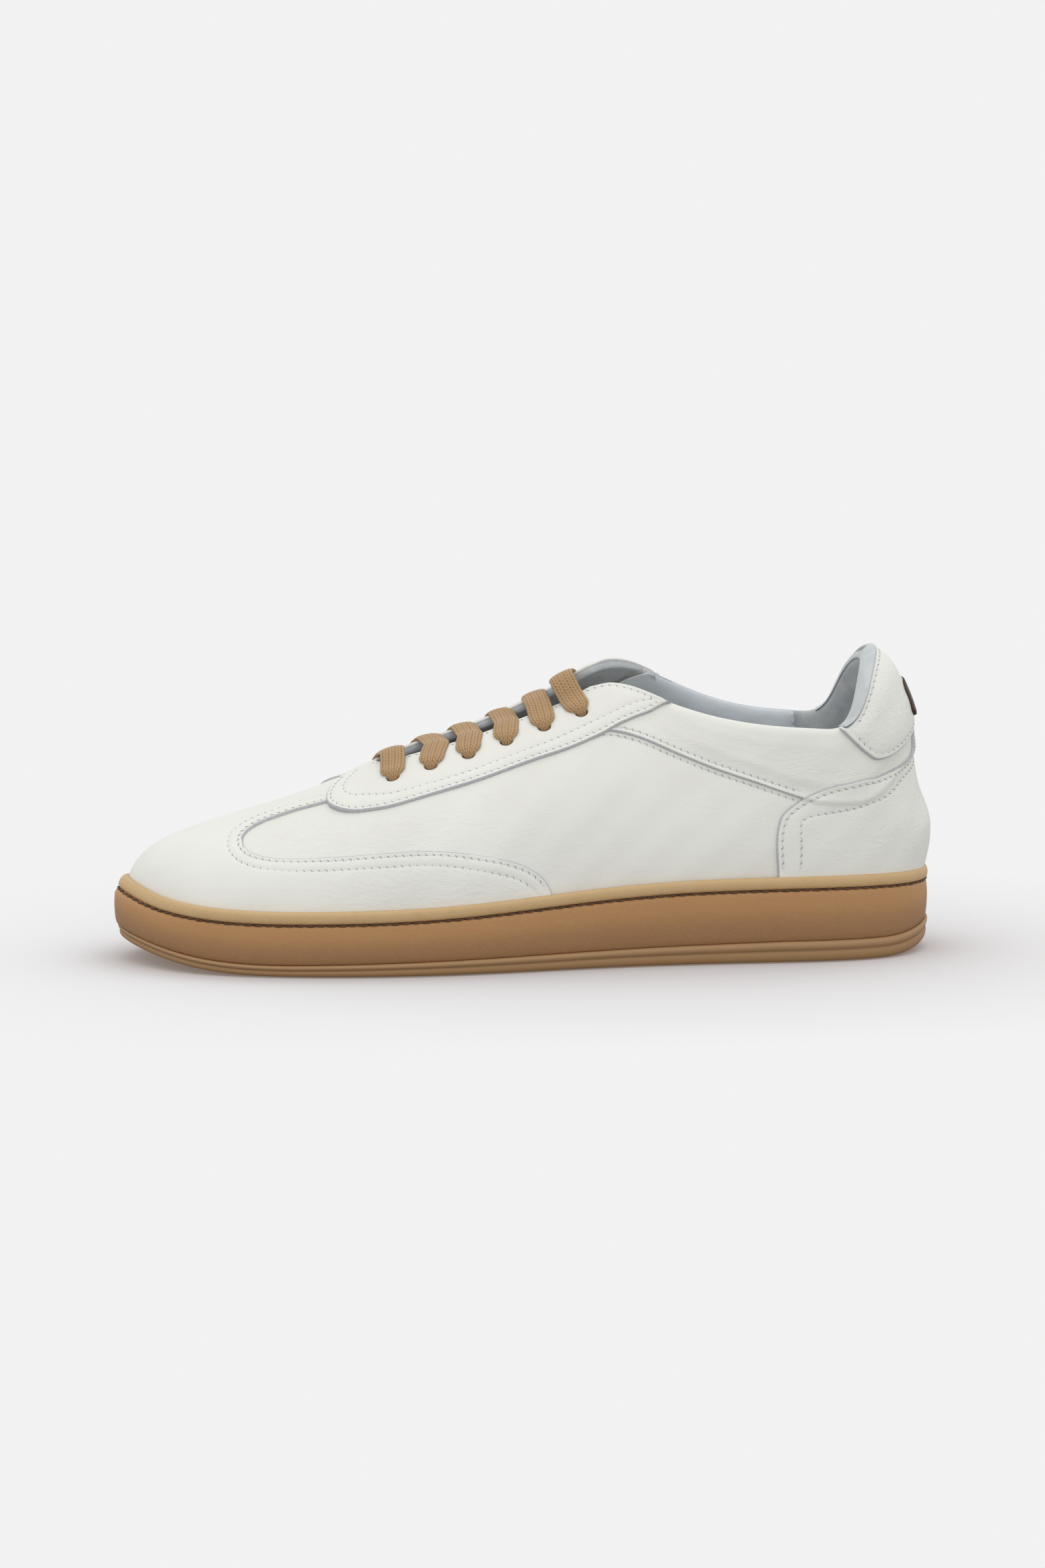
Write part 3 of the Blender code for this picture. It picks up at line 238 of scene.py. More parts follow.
def normal(u, v):
    """Outward unit normals; one sided where the top line is open."""
    u, v = np.broadcast_arrays(np.asarray(u, float), np.asarray(v, float))
    e = .002
    fu, fv, side = fold(u, v)
    open_top = fu > .5
    high = np.where(open_top, np.minimum(fv + e, 1), fv + e)
    low = np.maximum(fv - e, 0)
    mirror = np.where(side > 0, 0, 1)

    def at(a, b):
        b = np.where(mirror, 2 - b, b)
        return last(a, b)
    du = at(fu + e, fv) - at(fu - e, fv)
    dv = at(fu, high) - at(fu, low)
    n = np.cross(du, dv) * side[..., None]
    slope = crown_slope(fu)
    ridge = np.stack([-slope, slope * 0, slope * 0 + 1], -1)
    flat = (fv > .985) & (fu < .06)
    n = np.where(flat[..., None], ridge, n)
    return unit(n)


def lifted(u, v, offset):
    """Chart points raised from the last by an offset."""
    return last(u, v) + normal(u, v) * np.asarray(offset)[..., None]


# ------------------------------------------------------------- chart curves
def catmull_rom(a, b, c, d, t):
    """Points between b and c on the spline through four values."""
    return .5 * (2 * b + (c - a) * t + (2 * a - 5 * b + 4 * c - d) * t * t
                 + (3 * b - a - 3 * c + d) * t ** 3)


def catmull(points):
    """Smooth open curve through chart keys."""
    p = np.array(points, float)
    q = np.vstack([2 * p[0] - p[1], p, 2 * p[-1] - p[-2]])
    t = np.linspace(0, 1, 24, endpoint=False)[:, None]
    spans = zip(q, q[1:], q[2:], q[3:])
    return np.vstack([*(catmull_rom(*four, t) for four in spans), p[-1:]])


def length_of(place):
    steps = np.linalg.norm(np.diff(place, axis=0), axis=1)
    return np.concatenate([[0], np.cumsum(steps)])


def resample(c, step):
    """Even spacing on the shoe along a chart curve."""
    s = length_of(last(c[:, 0], c[:, 1]))
    count = max(int(round(s[-1] / step)), 1)
    at = np.linspace(0, s[-1], count + 1)
    return np.stack([np.interp(at, s, c[:, 0]), np.interp(at, s, c[:, 1])],
                    -1)


def curve(points, step=EDGE_STEP):
    return resample(catmull(points), step)


def line(points):
    """Straight chart lines with even spacing."""
    p = np.array(points, float)
    t = np.linspace(0, 1, 60)[:, None]
    path = np.vstack([a * (1 - t) + b * t for a, b in zip(p, p[1:])])
    return resample(path, EDGE_STEP)


def jacobian(c):
    """Surface derivatives at chart points, kept off the ridge crease."""
    e = 1e-3
    u, v = c[:, 0], c[:, 1]
    v = np.where(np.abs(v - 1) < e, 1 - e, v)
    pu = (last(u + e, v) - last(u - e, v)) / (2 * e)
    pv = (last(u, v + e / 2) - last(u, v - e / 2)) / e
    return pu, pv


def chart_step(c, shift):
    """Chart change that moves points by a shift along the surface."""
    pu, pv = jacobian(c)
    a = np.sum(pu * pu, -1)
    b = np.sum(pu * pv, -1)
    d = np.sum(pv * pv, -1)
    x = np.sum(pu * shift, -1)
    y = np.sum(pv * shift, -1)
    det = a * d - b * b
    return np.stack([d * x - b * y, a * y - b * x], -1) / det[:, None]


def beside(c, distance):
    """Curve moved to its left on the surface by a distance."""
    place = last(c[:, 0], c[:, 1])
    along = unit(np.gradient(place, axis=0))
    left = np.cross(normal(c[:, 0], c[:, 1]), along)
    return c + chart_step(c, left * np.reshape(distance, (-1, 1)))


def chart_mirror(c):
    """Medial twin of a lateral chart curve, over the ridge."""
    other = np.array(c, float)[::-1].copy()
    other[:, 1] = 2 - other[:, 1]
    return other


def heel_mirror(c):
    """Medial twin of a lateral chart curve, round the heel."""
    other = np.array(c, float)[::-1].copy()
    other[:, 0] = 2 - other[:, 0]
    return other


def rim_v(u, medial, above):
    """Chart height where the last meets the cup rim, plus a distance."""
    u = np.asarray(u, float)
    low, high = np.zeros(u.shape), np.full(u.shape, .6)
    for _ in range(26):
        mid = (low + high) / 2
        p = last(u, np.where(medial, 2 - mid, mid))
        under = p[..., 2] < RIM_Z(p[..., 0]) + above
        low, high = np.where(under, mid, low), np.where(under, high, mid)
    return high


def rim_line(u0, u1, above=DIP):
    u = np.linspace(u0, u1, 120)
    return resample(np.stack([u, rim_v(u, False, above)], -1), EDGE_STEP)


def joined(*parts):
    """One closed loop from chart curves that meet end to end."""
    loop = np.vstack(parts)
    place = last(loop[:, 0], loop[:, 1])
    keep = [0]
    for k in range(1, len(loop)):
        if np.linalg.norm(place[k] - place[keep[-1]]) > .35:
            keep.append(k)
    if np.linalg.norm(place[keep[-1]] - place[0]) < .35:
        keep.pop()
    return loop[keep]


def toe_loop(*parts):
    """Loop over the toe; the lateral half starts and ends on the ridge."""
    half = joined(line([(0, 1), (0, rim_v(0, False, DIP))]), *parts)
    half[half[:, 0] < 1e-6, 0] = 0
    if half[-1, 1] < 1 - 1e-6:
        half = np.vstack([half, [[half[-1, 0], 1]]])
    return np.vstack([half, chart_mirror(half[1:-1])])


def heel_loop(low, high):
    """Loop round the heel; both lateral curves end on the back seam."""
    low, high = np.array(low, float), np.array(high, float)
    ring = [low, heel_mirror(low), heel_mirror(high)[::-1], high[::-1]]
    return joined(*ring)


def ridge_loop(half):
    """Loop over the ridge from a lateral half with both ends on it."""
    half = joined(half)
    return np.vstack([half, chart_mirror(half[1:-1])])


# ---------------------------------------------------------------- mesh tools
def mesh_object(name, verts, faces, looks, slots=None):
    """Object from points in design millimetres."""
    mesh = bpy.data.meshes.new(name)
    points = (np.asarray(verts, float) * MM).tolist()
    mesh.from_pydata(points, [], [tuple(map(int, f)) for f in faces])
    for look in looks:
        mesh.materials.append(look)
    if slots is not None:
        mesh.polygons.foreach_set("material_index",
                                  np.array(slots, np.int32))
    mesh.polygons.foreach_set("use_smooth", [True] * len(mesh.polygons))
    mesh.update()
    obj = bpy.data.objects.new(name, mesh)
    bpy.context.scene.collection.objects.link(obj)
    return obj


def tube_faces(rows, count, closed=True):
    """Quads round rows of ring points, with an end cap on each side."""
    index = np.arange(rows * count).reshape(rows, count)
    after = np.roll(index, -1, axis=1)
    faces = np.stack([index[:-1], after[:-1], after[1:], index[1:]],
                     -1).reshape(-1, 4).tolist()
    if closed:
        faces += [index[0][::-1].tolist(), index[-1].tolist()]
    return faces


def slab_faces(rows, cols):
    """Faces of a closed slab: an upper grid over a lower one."""
    count = rows * cols
    index = np.arange(count).reshape(rows, cols)
    quads = np.stack([index[:-1, :-1], index[:-1, 1:], index[1:, 1:],
                      index[1:, :-1]], -1).reshape(-1, 4)
    faces = quads.tolist() + (quads[:, ::-1] + count).tolist()
    rim = [*index[0], *index[1:, -1], *index[-1, -2::-1], *index[-2:0:-1, 0]]
    for p, q in zip(rim, rim[1:] + rim[:1]):
        faces.append((q, p, p + count, q + count))
    return faces


def point_values(obj, name, values):
    """Float attribute on the points of a mesh."""
    layer = obj.data.attributes.new(name, "FLOAT", "POINT")
    layer.data.foreach_set("value", np.asarray(values, np.float32))


def set_out(obj, body, node=None):
    """Make a piece ride on a body and stand for a CAD node."""
    clean(obj)
    obj.name = obj.name.split(".")[0] + "_visual"
    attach(obj, body)
    if node:
        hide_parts(node)


def clean(obj):
    """Join doubled points and turn all faces outward."""
    bm = bmesh.new()
    bm.from_mesh(obj.data)
    bmesh.ops.remove_doubles(bm, verts=bm.verts, dist=2e-6)
    bmesh.ops.dissolve_degenerate(bm, edges=bm.edges, dist=1e-6)
    loose = [v for v in bm.verts if not v.link_faces]
    bmesh.ops.delete(bm, geom=loose, context="VERTS")
    bmesh.ops.recalc_face_normals(bm, faces=bm.faces)
    bm.to_mesh(obj.data)
    bm.free()


def nearest(points, sources):
    """Distance to and index of the nearest source of each point."""
    tree = KDTree(len(sources))
    for k, p in enumerate(sources):
        tree.insert(p, k)
    tree.balance()
    found = [tree.find(p) for p in points]
    return (np.array([f[2] for f in found]),
            np.array([f[1] for f in found], int))


def inside(points, loop):
    """Even odd test of chart points against a closed chart loop."""
    x, y = points[:, 0], points[:, 1]
    hit = np.zeros(len(points), bool)
    x0, y0 = loop[-1]
    for x1, y1 in loop:
        if y1 != y0:
            cross = (y0 > y) != (y1 > y)
            hit ^= cross & (x < (x1 - x0) * (y - y0) / (y1 - y0) + x0)
        x0, y0 = x1, y1
    return hit


def hex_points(loop, step):
    """Hexagonal lattice over the box of a chart loop."""
    low, high = loop.min(0), loop.max(0)
    du, dv = step / STRETCH * np.array([1, .87])
    out = []
    for k, v in enumerate(np.arange(low[1], high[1], dv)):
        u = np.arange(low[0] + (k % 2) * du / 2, high[0], du)
        out.append(np.stack([u, np.full(len(u), v)], -1))
    return np.vstack(out)


def within(points, loop, holes):
    keep = inside(points, loop)
    for ring in holes:
        keep &= ~inside(points, ring)
    return keep


def triangulate(loop, holes, extra):
    """Triangles of a chart loop with extra points inside it."""
    rings = (loop, *holes)
    coords = np.vstack([*rings, extra]) * STRETCH
    edges, first = [], 0
    for ring in rings:
        n = len(ring)
        edges += [(first + k, first + (k + 1) % n) for k in range(n)]
        first += n
    out = delaunay_2d_cdt([Vector(p) for p in coords], edges, [], 0, 1e-6,
                          True)
    points = np.array([tuple(p) for p in out[0]]) / STRETCH
    tris = np.array([tuple(t) for t in out[2]])
    tris = tris[within(points[tris].mean(1), loop, holes)]
    used = np.unique(tris)
    remap = np.full(len(points), -1)
    remap[used] = np.arange(len(used))
    return points[used], remap[tris]


def weld_toe(points, tris):
    """Join the two chart copies of the toe centre line."""
    remap = np.arange(len(points))
    first = {}
    for k in np.where(points[:, 0] < 1e-6)[0]:
        key = round(min(points[k, 1], 2 - points[k, 1]), 4)
        remap[k] = first.setdefault(key, k)
    return remap[tris]


def border_edges(tris):
    """Directed edges used once."""
    seen = {}
    for a, b, c in tris.tolist():
        for p, q in ((a, b), (b, c), (c, a)):
            if (q, p) in seen:
                del seen[(q, p)]
            else:
                seen[(p, q)] = True
    return list(seen)


# -------------------------------------------------------------------- panels
def span(offset, chart):
    """Offsets at chart points from a number or a function."""
    if callable(offset):
        return offset(chart[:, 0], chart[:, 1])
    return np.full(len(chart), float(offset))


def edge_width(chart):
    """Width of the rounding: wide along the top line, narrow at cuts."""
    u, v, _ = fold(chart[:, 0], chart[:, 1])
    return np.where((v > TOP_EDGE - .004) & (u > .66), ROLL, FOLD)


def edge_rows(rings, widths):
    """Rows of points that follow the edges inside the rounding."""
    rows = []
    for ring, width in zip(rings, widths):
        closed = np.vstack([ring[-1:], ring, ring[:1]])
        size = np.concatenate([width[-1:], width, width[:1]])
        for share in (.12, .4, 1.0):
            for side in (1, -1):
                row = beside(closed, side * share * size)[1:-1]
                rows.append((row, share * width))
    return rows


def panel_points(loop, holes, step, seams):
    """Lattice, edge rows and seam rows inside a panel."""
    rings = (loop, *holes)
    widths = [edge_width(r) for r in rings]
    cuts = np.vstack(rings)
    real = cuts[:, 0] > 1e-6
    places = last(cuts[real, 0], cuts[real, 1])
    parts = []
    grid = hex_points(loop, step)
    grid = grid[within(grid, loop, holes)]
    d, index = nearest(last(grid[:, 0], grid[:, 1]), places)
    wide = np.concatenate(widths)[real]
    parts.append(grid[d > wide[index] + step * .45])
    if seams:
        tracks = np.vstack(seams)
        sewn = last(tracks[:, 0], tracks[:, 1])
        d, _ = nearest(last(parts[0][:, 0], parts[0][:, 1]), sewn)
        parts[0] = parts[0][d > 1.1]
        for seam in seams:
            for shift in (-.8, -.35, 0, .35, .8):
                row = beside(seam, shift)
                row = row[within(row, loop, holes)]
                if len(row):
                    d, index = nearest(last(row[:, 0], row[:, 1]), places)
                    parts.append(row[d > wide[index] + .25])
    if step < COARSE:
        for row, size in edge_rows(rings, widths):
            ok = within(row, loop, holes)
            row, size = row[ok], size[ok]
            if len(row):
                d, _ = nearest(last(row[:, 0], row[:, 1]), places)
                parts.append(row[d > .8 * size])
    points = np.vstack(parts)
    return points[points[:, 0] > .002]


def panel(name, loop, front, back, looks, step=FINE, holes=(),
          seams=(), puff=None, drop=1.0, crease_and_shade=None, raw=None):
    """Closed piece of leather, lining or foam that stands for its node.

    The front is the visible face at its offset; its edges are rounded off
    and its seams are sunk. The back is a plain coarse face. Front faces near
    the raw curve show the second look, like the walls.
    """
    points, tris = triangulate(loop, holes,
                               panel_points(loop, holes, step, seams))
    tris = weld_toe(points, tris)
    place = last(points[:, 0], points[:, 1])
    cuts = np.vstack([loop, *holes])
    cuts = cuts[cuts[:, 0] > 1e-6]
    d, index = nearest(place, last(cuts[:, 0], cuts[:, 1]))
    wide = edge_width(cuts)[index]
    h = span(front, points)
    sign = np.sign(h.mean() - span(back, points).mean())
    t = 1 - np.clip(d / wide, 0, 1)
    deep = np.where(wide > FOLD, ROLL * .85, drop)
    h = h - sign * deep * (1 - np.sqrt(1 - t * t))
    if puff:
        h = h + sign * puff(points, d)
    if seams:
        tracks = np.vstack(seams)
        sd, _ = nearest(place, last(tracks[:, 0], tracks[:, 1]))
        h = h - sign * (.2 * np.exp(-(sd / .45) ** 2)
                        + .14 * np.exp(-(sd / 1.8) ** 2))
    top = lifted(points[:, 0], points[:, 1], h)
    low_extra = hex_points(loop, max(step * 3, 5))
    low_extra = low_extra[within(low_extra, loop, holes)]
    far, _ = nearest(last(low_extra[:, 0], low_extra[:, 1]),
                     last(cuts[:, 0], cuts[:, 1]))
    low_extra = low_extra[(far > 2.5) & (low_extra[:, 0] > .008)]
    low_points, low_tris = triangulate(loop, holes, low_extra)
    low_tris = weld_toe(low_points, low_tris)
    low = lifted(low_points[:, 0], low_points[:, 1], span(back, low_points))
    walls = wall_faces(points, tris, low_points, low_tris)
    faces = [*tris.tolist(),
             *(low_tris[:, ::-1] + len(top)).tolist(), *walls]
    raw_top = np.zeros(len(tris), bool)
    if raw is not None:
        bare, _ = nearest(place, last(raw[:, 0], raw[:, 1]))
        raw_top = bare[tris].max(1) < RAW
    slots = [*raw_top.astype(int).tolist(), *[0] * len(low_tris),
             *[1] * len(walls)]
    obj = mesh_object(name, np.vstack([top, low]), faces, looks, slots)
    # wrinkle strength per point; the leather also paints shade into the wrinkles from it
    crease_and_shade_values = crease_and_shade(points) if crease_and_shade else np.zeros(len(points))
    point_values(obj, "crease_and_shade",
                 np.concatenate([crease_and_shade_values, np.zeros(len(low))]))
    set_out(obj, "shoe", name)


def wall_faces(points, tris, low_points, low_tris):
    """Quads that join the borders of the front and the back."""
    def keys(p):
        toe = p[:, 0] < 1e-6
        v = np.where(toe, np.minimum(p[:, 1], 2 - p[:, 1]), p[:, 1])
        return [(round(a, 5), round(b, 5)) for a, b in zip(p[:, 0], v)]
    low_keys = keys(low_points)
    used = set(low_tris.ravel().tolist())
    table = {key: k for k, key in enumerate(low_keys) if k in used}
    top_keys = keys(points)
    count = len(points)
    walls = []
    for a, b in border_edges(tris):
        low_a, low_b = table.get(top_keys[a]), table.get(top_keys[b])
        if low_a is not None and low_b is not None:
            walls.append((b, a, low_a + count, low_b + count))
    return walls


# -------------------------------------------------------------- seam curves
STAY_EDGE = ((.305, 1.0), (.2955, .93), (.2885, .86), (.2855, .78),
             (.291, .71), (.308, .642), (.333, .6), (.366, .578),
             (.437, .592), (.507, .615), (.559, .632), (.598, .683),
             (.636, .8), (.655, .9), (.668, .985))
THROAT = ((.582, .985), (.562, .935), (.546, .912), (.497, .9), (.461, .892),
          (.427, .884), (.377, .893), (.352, .94), (.345, 1.0))
TOE_EDGE = ((.524, .06), (.5215, .10), (.514, .145), (.500, .188),
            (.481, .226), (.447, .273), (.414, .312), (.38, .34),
            (.33, .37), (.279, .407), (.235, .446),
            (.206, .494), (.189, .555), (.182, .646), (.188, .717),
            (.208, .773), (.241, .795), (.262, .79), (.290, .77))
COLLAR_SEAM = ((.568, .686), (.588, .676), (.645, .652), (.7, .636),
               (.746, .608), (.79, .555), (.81, .53))
HEEL_SIDE = ((.761, .2), (.761, .285), (.767, .406), (.776, .471),
             (.798, .554))
HEEL_TOP = ((.798, .554), (.825, .62), (.85, .655), (.873, .655),
            (.893, .615), (.92, .566), (.94, .542), (.955, .535),
            (.968, .545), (.98, .578), (.99, .606), (1.0, .615))
TAB_EDGE = ((.859, .985), (.871, .89), (.886, .763), (.897, .69),
            (.918, .634), (.94, .61), (.96, .607), (.98, .618),
            (1.0, .628))
STAY_INNER = ((.654, .955), (.634, .875), (.597, .755), (.543, .693),
              (.481, .668), (.438, .652), (.394, .64), (.355, .652),
              (.327, .71), (.313, .745), (.306, .8), (.308, .88), (.324, 1.0))
EYELETS = ((.36, .75), (.401, .745), (.442, .75), (.484, .762),
           (.526, .775), (.567, .795))
HOLE_R = 2.3               # eyelet radius
SIDE_FRONT, SIDE_BACK = .168, .82
BACK_SEAM = .9995          # panels that meet at the back stop here


def top_line(u0, u1):
    return line([(u0, TOP_EDGE), (u1, TOP_EDGE)])


def smooth(t):
    t = np.clip(t, 0, 1)
    return t * t * (3 - 2 * t)


def height_on(keys):
    """Chart height of a lateral seam as a function of u."""
    k = np.array(sorted(keys))
    return lambda u: np.interp(u, k[:, 0], k[:, 1])


SEAM_V = height_on(COLLAR_SEAM)


def collar_level(u, v):
    """Outer face of the collar panel; its seam edge laps the side panel."""
    fu, fv, _ = fold(u, v)
    above = (fv - SEAM_V(fu)) * STRETCH[1]
    puff = 1.1 * smooth((above - 3) / 9) * smooth((fu - .63) / .08)
    top = 1 - .9 * smooth((fv - .86) / .13)
    tail = smooth((fu - .572) / .02)
    return LAP * (1 - .4 * smooth(above / 9)) * tail + puff * top


def over_level(u, v):
    """Outer face of overlays; they ride up over the collar panel."""
    fu, fv, _ = fold(u, v)
    above = (fv - SEAM_V(fu)) * STRETCH[1]
    ramp = smooth((above + 1.5) / 3) * smooth((fu - .585) / .02)
    return OVER + ramp * np.maximum(collar_level(u, v), .3)


def tab_level(u, v):
    """Outer face of the heel tab."""
    return over_level(u, v) + .2


def padding(u, v):
    """Depth of the collar foam behind the lining."""
    u, v, _ = fold(u, v)
    start = np.clip((u - .64) / .06, 0, 1)
    ramp = smooth((v - .46) / .16)
    top = 1 - .45 * smooth((v - .85) / .15)
    heel = 1 + .45 * np.clip((u - .84) / .1, 0, 1)
    return 3.0 * start * ramp * top * heel


def lining_level(u, v):
    """Inner face of the linings, raised by the collar foam."""
    return LINING - padding(u, v)


def lapped(level, offset):
    return lambda u, v: level(u, v) + offset


def eyelet_ring(u, v, medial, sides=20):
    """Round hole punched square to the surface, as a chart loop."""
    a = np.arange(sides) / sides * math.tau
    c = np.full((sides, 2), (u, v))
    n = normal(c[:, 0], c[:, 1])
    along = unit(last(c[:, 0] + .004, v) - last(c[:, 0] - .004, v))
    across = np.cross(n, along)
    shift = (along * np.cos(a)[:, None] + across * np.sin(a)[:, None])
    ring = c + chart_step(c, shift * HOLE_R)
    if medial:
        ring[:, 1] = 2 - ring[:, 1]
    return ring


# ------------------------------------------------------------------ stitches
SLANT = .3                 # a stitch drifts this far to each side
HOLE_SHADE_REACH = .52           # half length of the dark bead painted as shade in a needle hole
THREAD_SIZE = .24, .17     # half width and half thickness of a stitch
HOLE_SHADE_SIZE = .16, .11       # the same of that painted hole shade


class Sewing:
    """Collects thread stitches, and dark beads painted as the shade in their needle holes, for
    one object.
    """

    def __init__(self, name):
        self.name = name
        self.verts, self.faces, self.slots = [], [], []

    def bead(self, centres, ups, sides, half_w, half_t, slot, count=5):
        """Closed bead round a short run of centres."""
        first = len(self.verts)
        taper = (.35, .9, 1, .9, .35)
        for k, c in enumerate(centres):
            for m in range(count):
                a = m / count * math.tau
                self.verts.append(c + ups[k] * math.sin(a) * half_t * taper[k]
                                  + sides[k] * math.cos(a) * half_w * taper[k])
        rows = len(centres)
        for r in range(rows - 1):
            for m in range(count):
                n = (m + 1) % count
                a = first + r * count
                self.faces.append((a + m, a + n, a + count + n,
                                   a + count + m))
        end = first + (rows - 1) * count
        self.faces.append(tuple(first + m for m in reversed(range(count))))
        self.faces.append(tuple(end + m for m in range(count)))
        self.slots += [slot] * (len(self.faces) - len(self.slots))

    def row(self, chart, level):
        """Row of slanted stitches, each followed by a dark bead painted as the shade in its
        needle hole.
        """
        s = length_of(last(chart[:, 0], chart[:, 1]))
        count = int(s[-1] / PITCH)
        start = (s[-1] - count * PITCH) / 2
        lean = np.linspace(-SLANT, SLANT, 5)[:, None]
        arch = np.array([-.55, -.3, -.2, -.3, -.55])[:, None]
        for at in start + (np.arange(count) + .5) * PITCH:
            base, n, side = self.run(chart, s, at, PITCH * .37, level)
            self.bead(base + n * arch + side * lean * .5, n, side,
                      *THREAD_SIZE, 0)
            # painted shade: a dark bead sunk at the needle hole where the thread dives in
            base, n, side = self.run(chart, s, at + PITCH / 2, HOLE_SHADE_REACH,
                                     level)
            self.bead(base - n * .14 - side * lean * 1.3, n, side,
                      *HOLE_SHADE_SIZE, 1)

    @staticmethod
    def run(chart, s, at, reach, level):
        """Five surface points, normals and side directions of a stitch."""
        t = at + np.linspace(-reach, reach, 5)
        c = np.stack([np.interp(t, s, chart[:, 0]),
                      np.interp(t, s, chart[:, 1])], -1)
        n = normal(c[:, 0], c[:, 1])
        base = last(c[:, 0], c[:, 1]) + n * span(level, c)[:, None]
        return base, n, unit(np.cross(n, unit(np.gradient(base, axis=0))))

    def build(self, looks):
        return mesh_object(self.name, np.array(self.verts), self.faces,
                           looks, self.slots)


# ----------------------------------------------------------------- materials
class Nodes:
    """Small helper round a material's node tree."""

    def __init__(self, name, roughness):
        self.material = bpy.data.materials.new(name)
        self.material.use_nodes = True
        self.tree = self.material.node_tree
        self.shader = self.tree.nodes["Principled BSDF"]
        self.shader.inputs["Roughness"].default_value = roughness
        self.place = self.add("ShaderNodeTexCoord").outputs["Object"]
        self.bump = None

    def add(self, kind, **values):
        node = self.tree.nodes.new(kind)
        for key, value in values.items():
            setattr(node, key, value)
        return node

    def put(self, socket, value):
        if isinstance(value, bpy.types.NodeSocket):
            self.tree.links.new(value, socket)
        else:
            socket.default_value = value

    def noise(self, scale, detail=2.0, rough=.5, place=None, lacing=0.0):
        node = self.add("ShaderNodeTexNoise")
        for key, value in (("Scale", scale), ("Detail", detail),
                           ("Roughness", rough), ("Distortion", lacing),
                           ("Vector", place or self.place)):
            self.put(node.inputs[key], value)
        return node.outputs[0]

    def cells(self, scale, place):
        node = self.add("ShaderNodeTexVoronoi")
        self.put(node.inputs["Scale"], scale)
        self.put(node.inputs["Vector"], place)
        return node.outputs["Distance"]

    def maths(self, operation, a, b=0.0):
        node = self.add("ShaderNodeMath", operation=operation)
        for socket, value in zip(node.inputs, (a, b)):
            self.put(socket, value)
        return node.outputs[0]

    def attribute(self, name):
        node = self.add("ShaderNodeAttribute", attribute_name=name)
        return node.outputs["Fac"]

    def ramp(self, value, *stops):
        """Colour ramp from (position, (red, green, blue)) stops."""
        node = self.add("ShaderNodeValToRGB")
        elements = node.color_ramp.elements
        while len(elements) < len(stops):
            elements.new(.5)
        for element, (position, colour) in zip(elements, stops):
            element.position = position
            element.color = (*colour, 1)
        self.put(node.inputs[0], value)
        return node.outputs[0]

    def mix(self, factor, a, b):
        node = self.add("ShaderNodeMix", data_type="RGBA")
        for key, value in (("Factor_Float", factor), ("A_Color", a),
                           ("B_Color", b)):
            socket = next(s for s in node.inputs if s.identifier == key)
            if isinstance(value, tuple) and len(value) == 3:
                value = (*value, 1)
            self.put(socket, value)
        return next(s for s in node.outputs
                    if s.identifier == "Result_Color")

    def stretched(self, x, y, z, turn):
        node = self.add("ShaderNodeMapping")
        self.put(node.inputs["Vector"], self.place)
        self.put(node.inputs["Scale"], (x, y, z))
        self.put(node.inputs["Rotation"], turn)
        return node.outputs[0]

    def raise_by(self, height, strength, distance):
        """Stack one more bump on the surface; distance in millimetres."""
        node = self.add("ShaderNodeBump")
        self.put(node.inputs["Height"], height)
        self.put(node.inputs["Strength"], strength)
        self.put(node.inputs["Distance"], distance * MM)
        if self.bump:
            self.put(node.inputs["Normal"], self.bump)
        self.bump = node.outputs[0]

    def finish(self, colour, **inputs):
        self.put(self.shader.inputs["Base Color"],
                 (*colour, 1) if isinstance(colour, tuple) else colour)
        if self.bump:
            self.put(self.shader.inputs["Normal"], self.bump)
        for key, value in inputs.items():
            self.put(self.shader.inputs[key.replace("_", " ")], value)
        return self.material


def leather(name, light, dark, grain=1.0):
    """Fine grained hide with soft wrinkles where a point attribute asks for them; the same
    attribute darkens the colour there as painted shade.
    """
    n = Nodes(name, .46)
    soft = n.noise(28, 3, .55)
    colour = n.ramp(soft, (.3, dark), (.7, light))
    pebble = n.cells(1250, n.stretched(1, 1, 1, (.4, .2, .6)))
    n.raise_by(pebble, .10 * grain, .25)
    n.raise_by(n.noise(2600, 3, .6), .10 * grain, .12)
    n.raise_by(n.noise(260, 2, .5), .16 * grain, .5)
    warp = n.noise(210, 4, .62, n.stretched(.55, 1.5, 1.25, (.3, .5, .4)),
                   .6)
    ridge = n.maths("ABSOLUTE", n.maths("SUBTRACT", warp, .5))
    lines = n.maths("MINIMUM", n.maths("MULTIPLY", ridge, 7.0), 1.0)
    crease_and_shade = n.attribute("crease_and_shade")
    n.raise_by(n.maths("MULTIPLY", lines, crease_and_shade), .27, .55)
    # painted shade: the colour darkens towards the dark tone where the wrinkles are strong
    crease_shaded_colour = n.mix(n.maths("MULTIPLY", crease_and_shade, .10), colour, dark)
    return n.finish(crease_shaded_colour, Specular_IOR_Level=.42)


def napped(name, light, dark):
    """Brushed suede with a soft sheen."""
    n = Nodes(name, .95)
    patch = n.noise(120, 4, .65, lacing=.4)
    fibre = n.noise(3200, 3, .7)
    tone = n.maths("ADD", n.maths("MULTIPLY", patch, .65),
                   n.maths("MULTIPLY", fibre, .35))
    colour = n.ramp(tone, (.34, dark), (.66, light))
    n.raise_by(n.noise(900, 4, .7), .35, .35)
    n.raise_by(fibre, .5, .18)
    return n.finish(colour, Sheen_Weight=.35, Sheen_Roughness=.4,
                    Specular_IOR_Level=.15)


def lining_hide(name, light, dark):
    """Smooth soft lining leather."""
    n = Nodes(name, .6)
    colour = n.ramp(n.noise(55, 4, .6), (.3, dark), (.7, light))
    n.raise_by(n.noise(1800, 3, .6), .18, .15)
    n.raise_by(n.noise(150, 3, .6), .35, .8)
    return n.finish(colour, Specular_IOR_Level=.3)


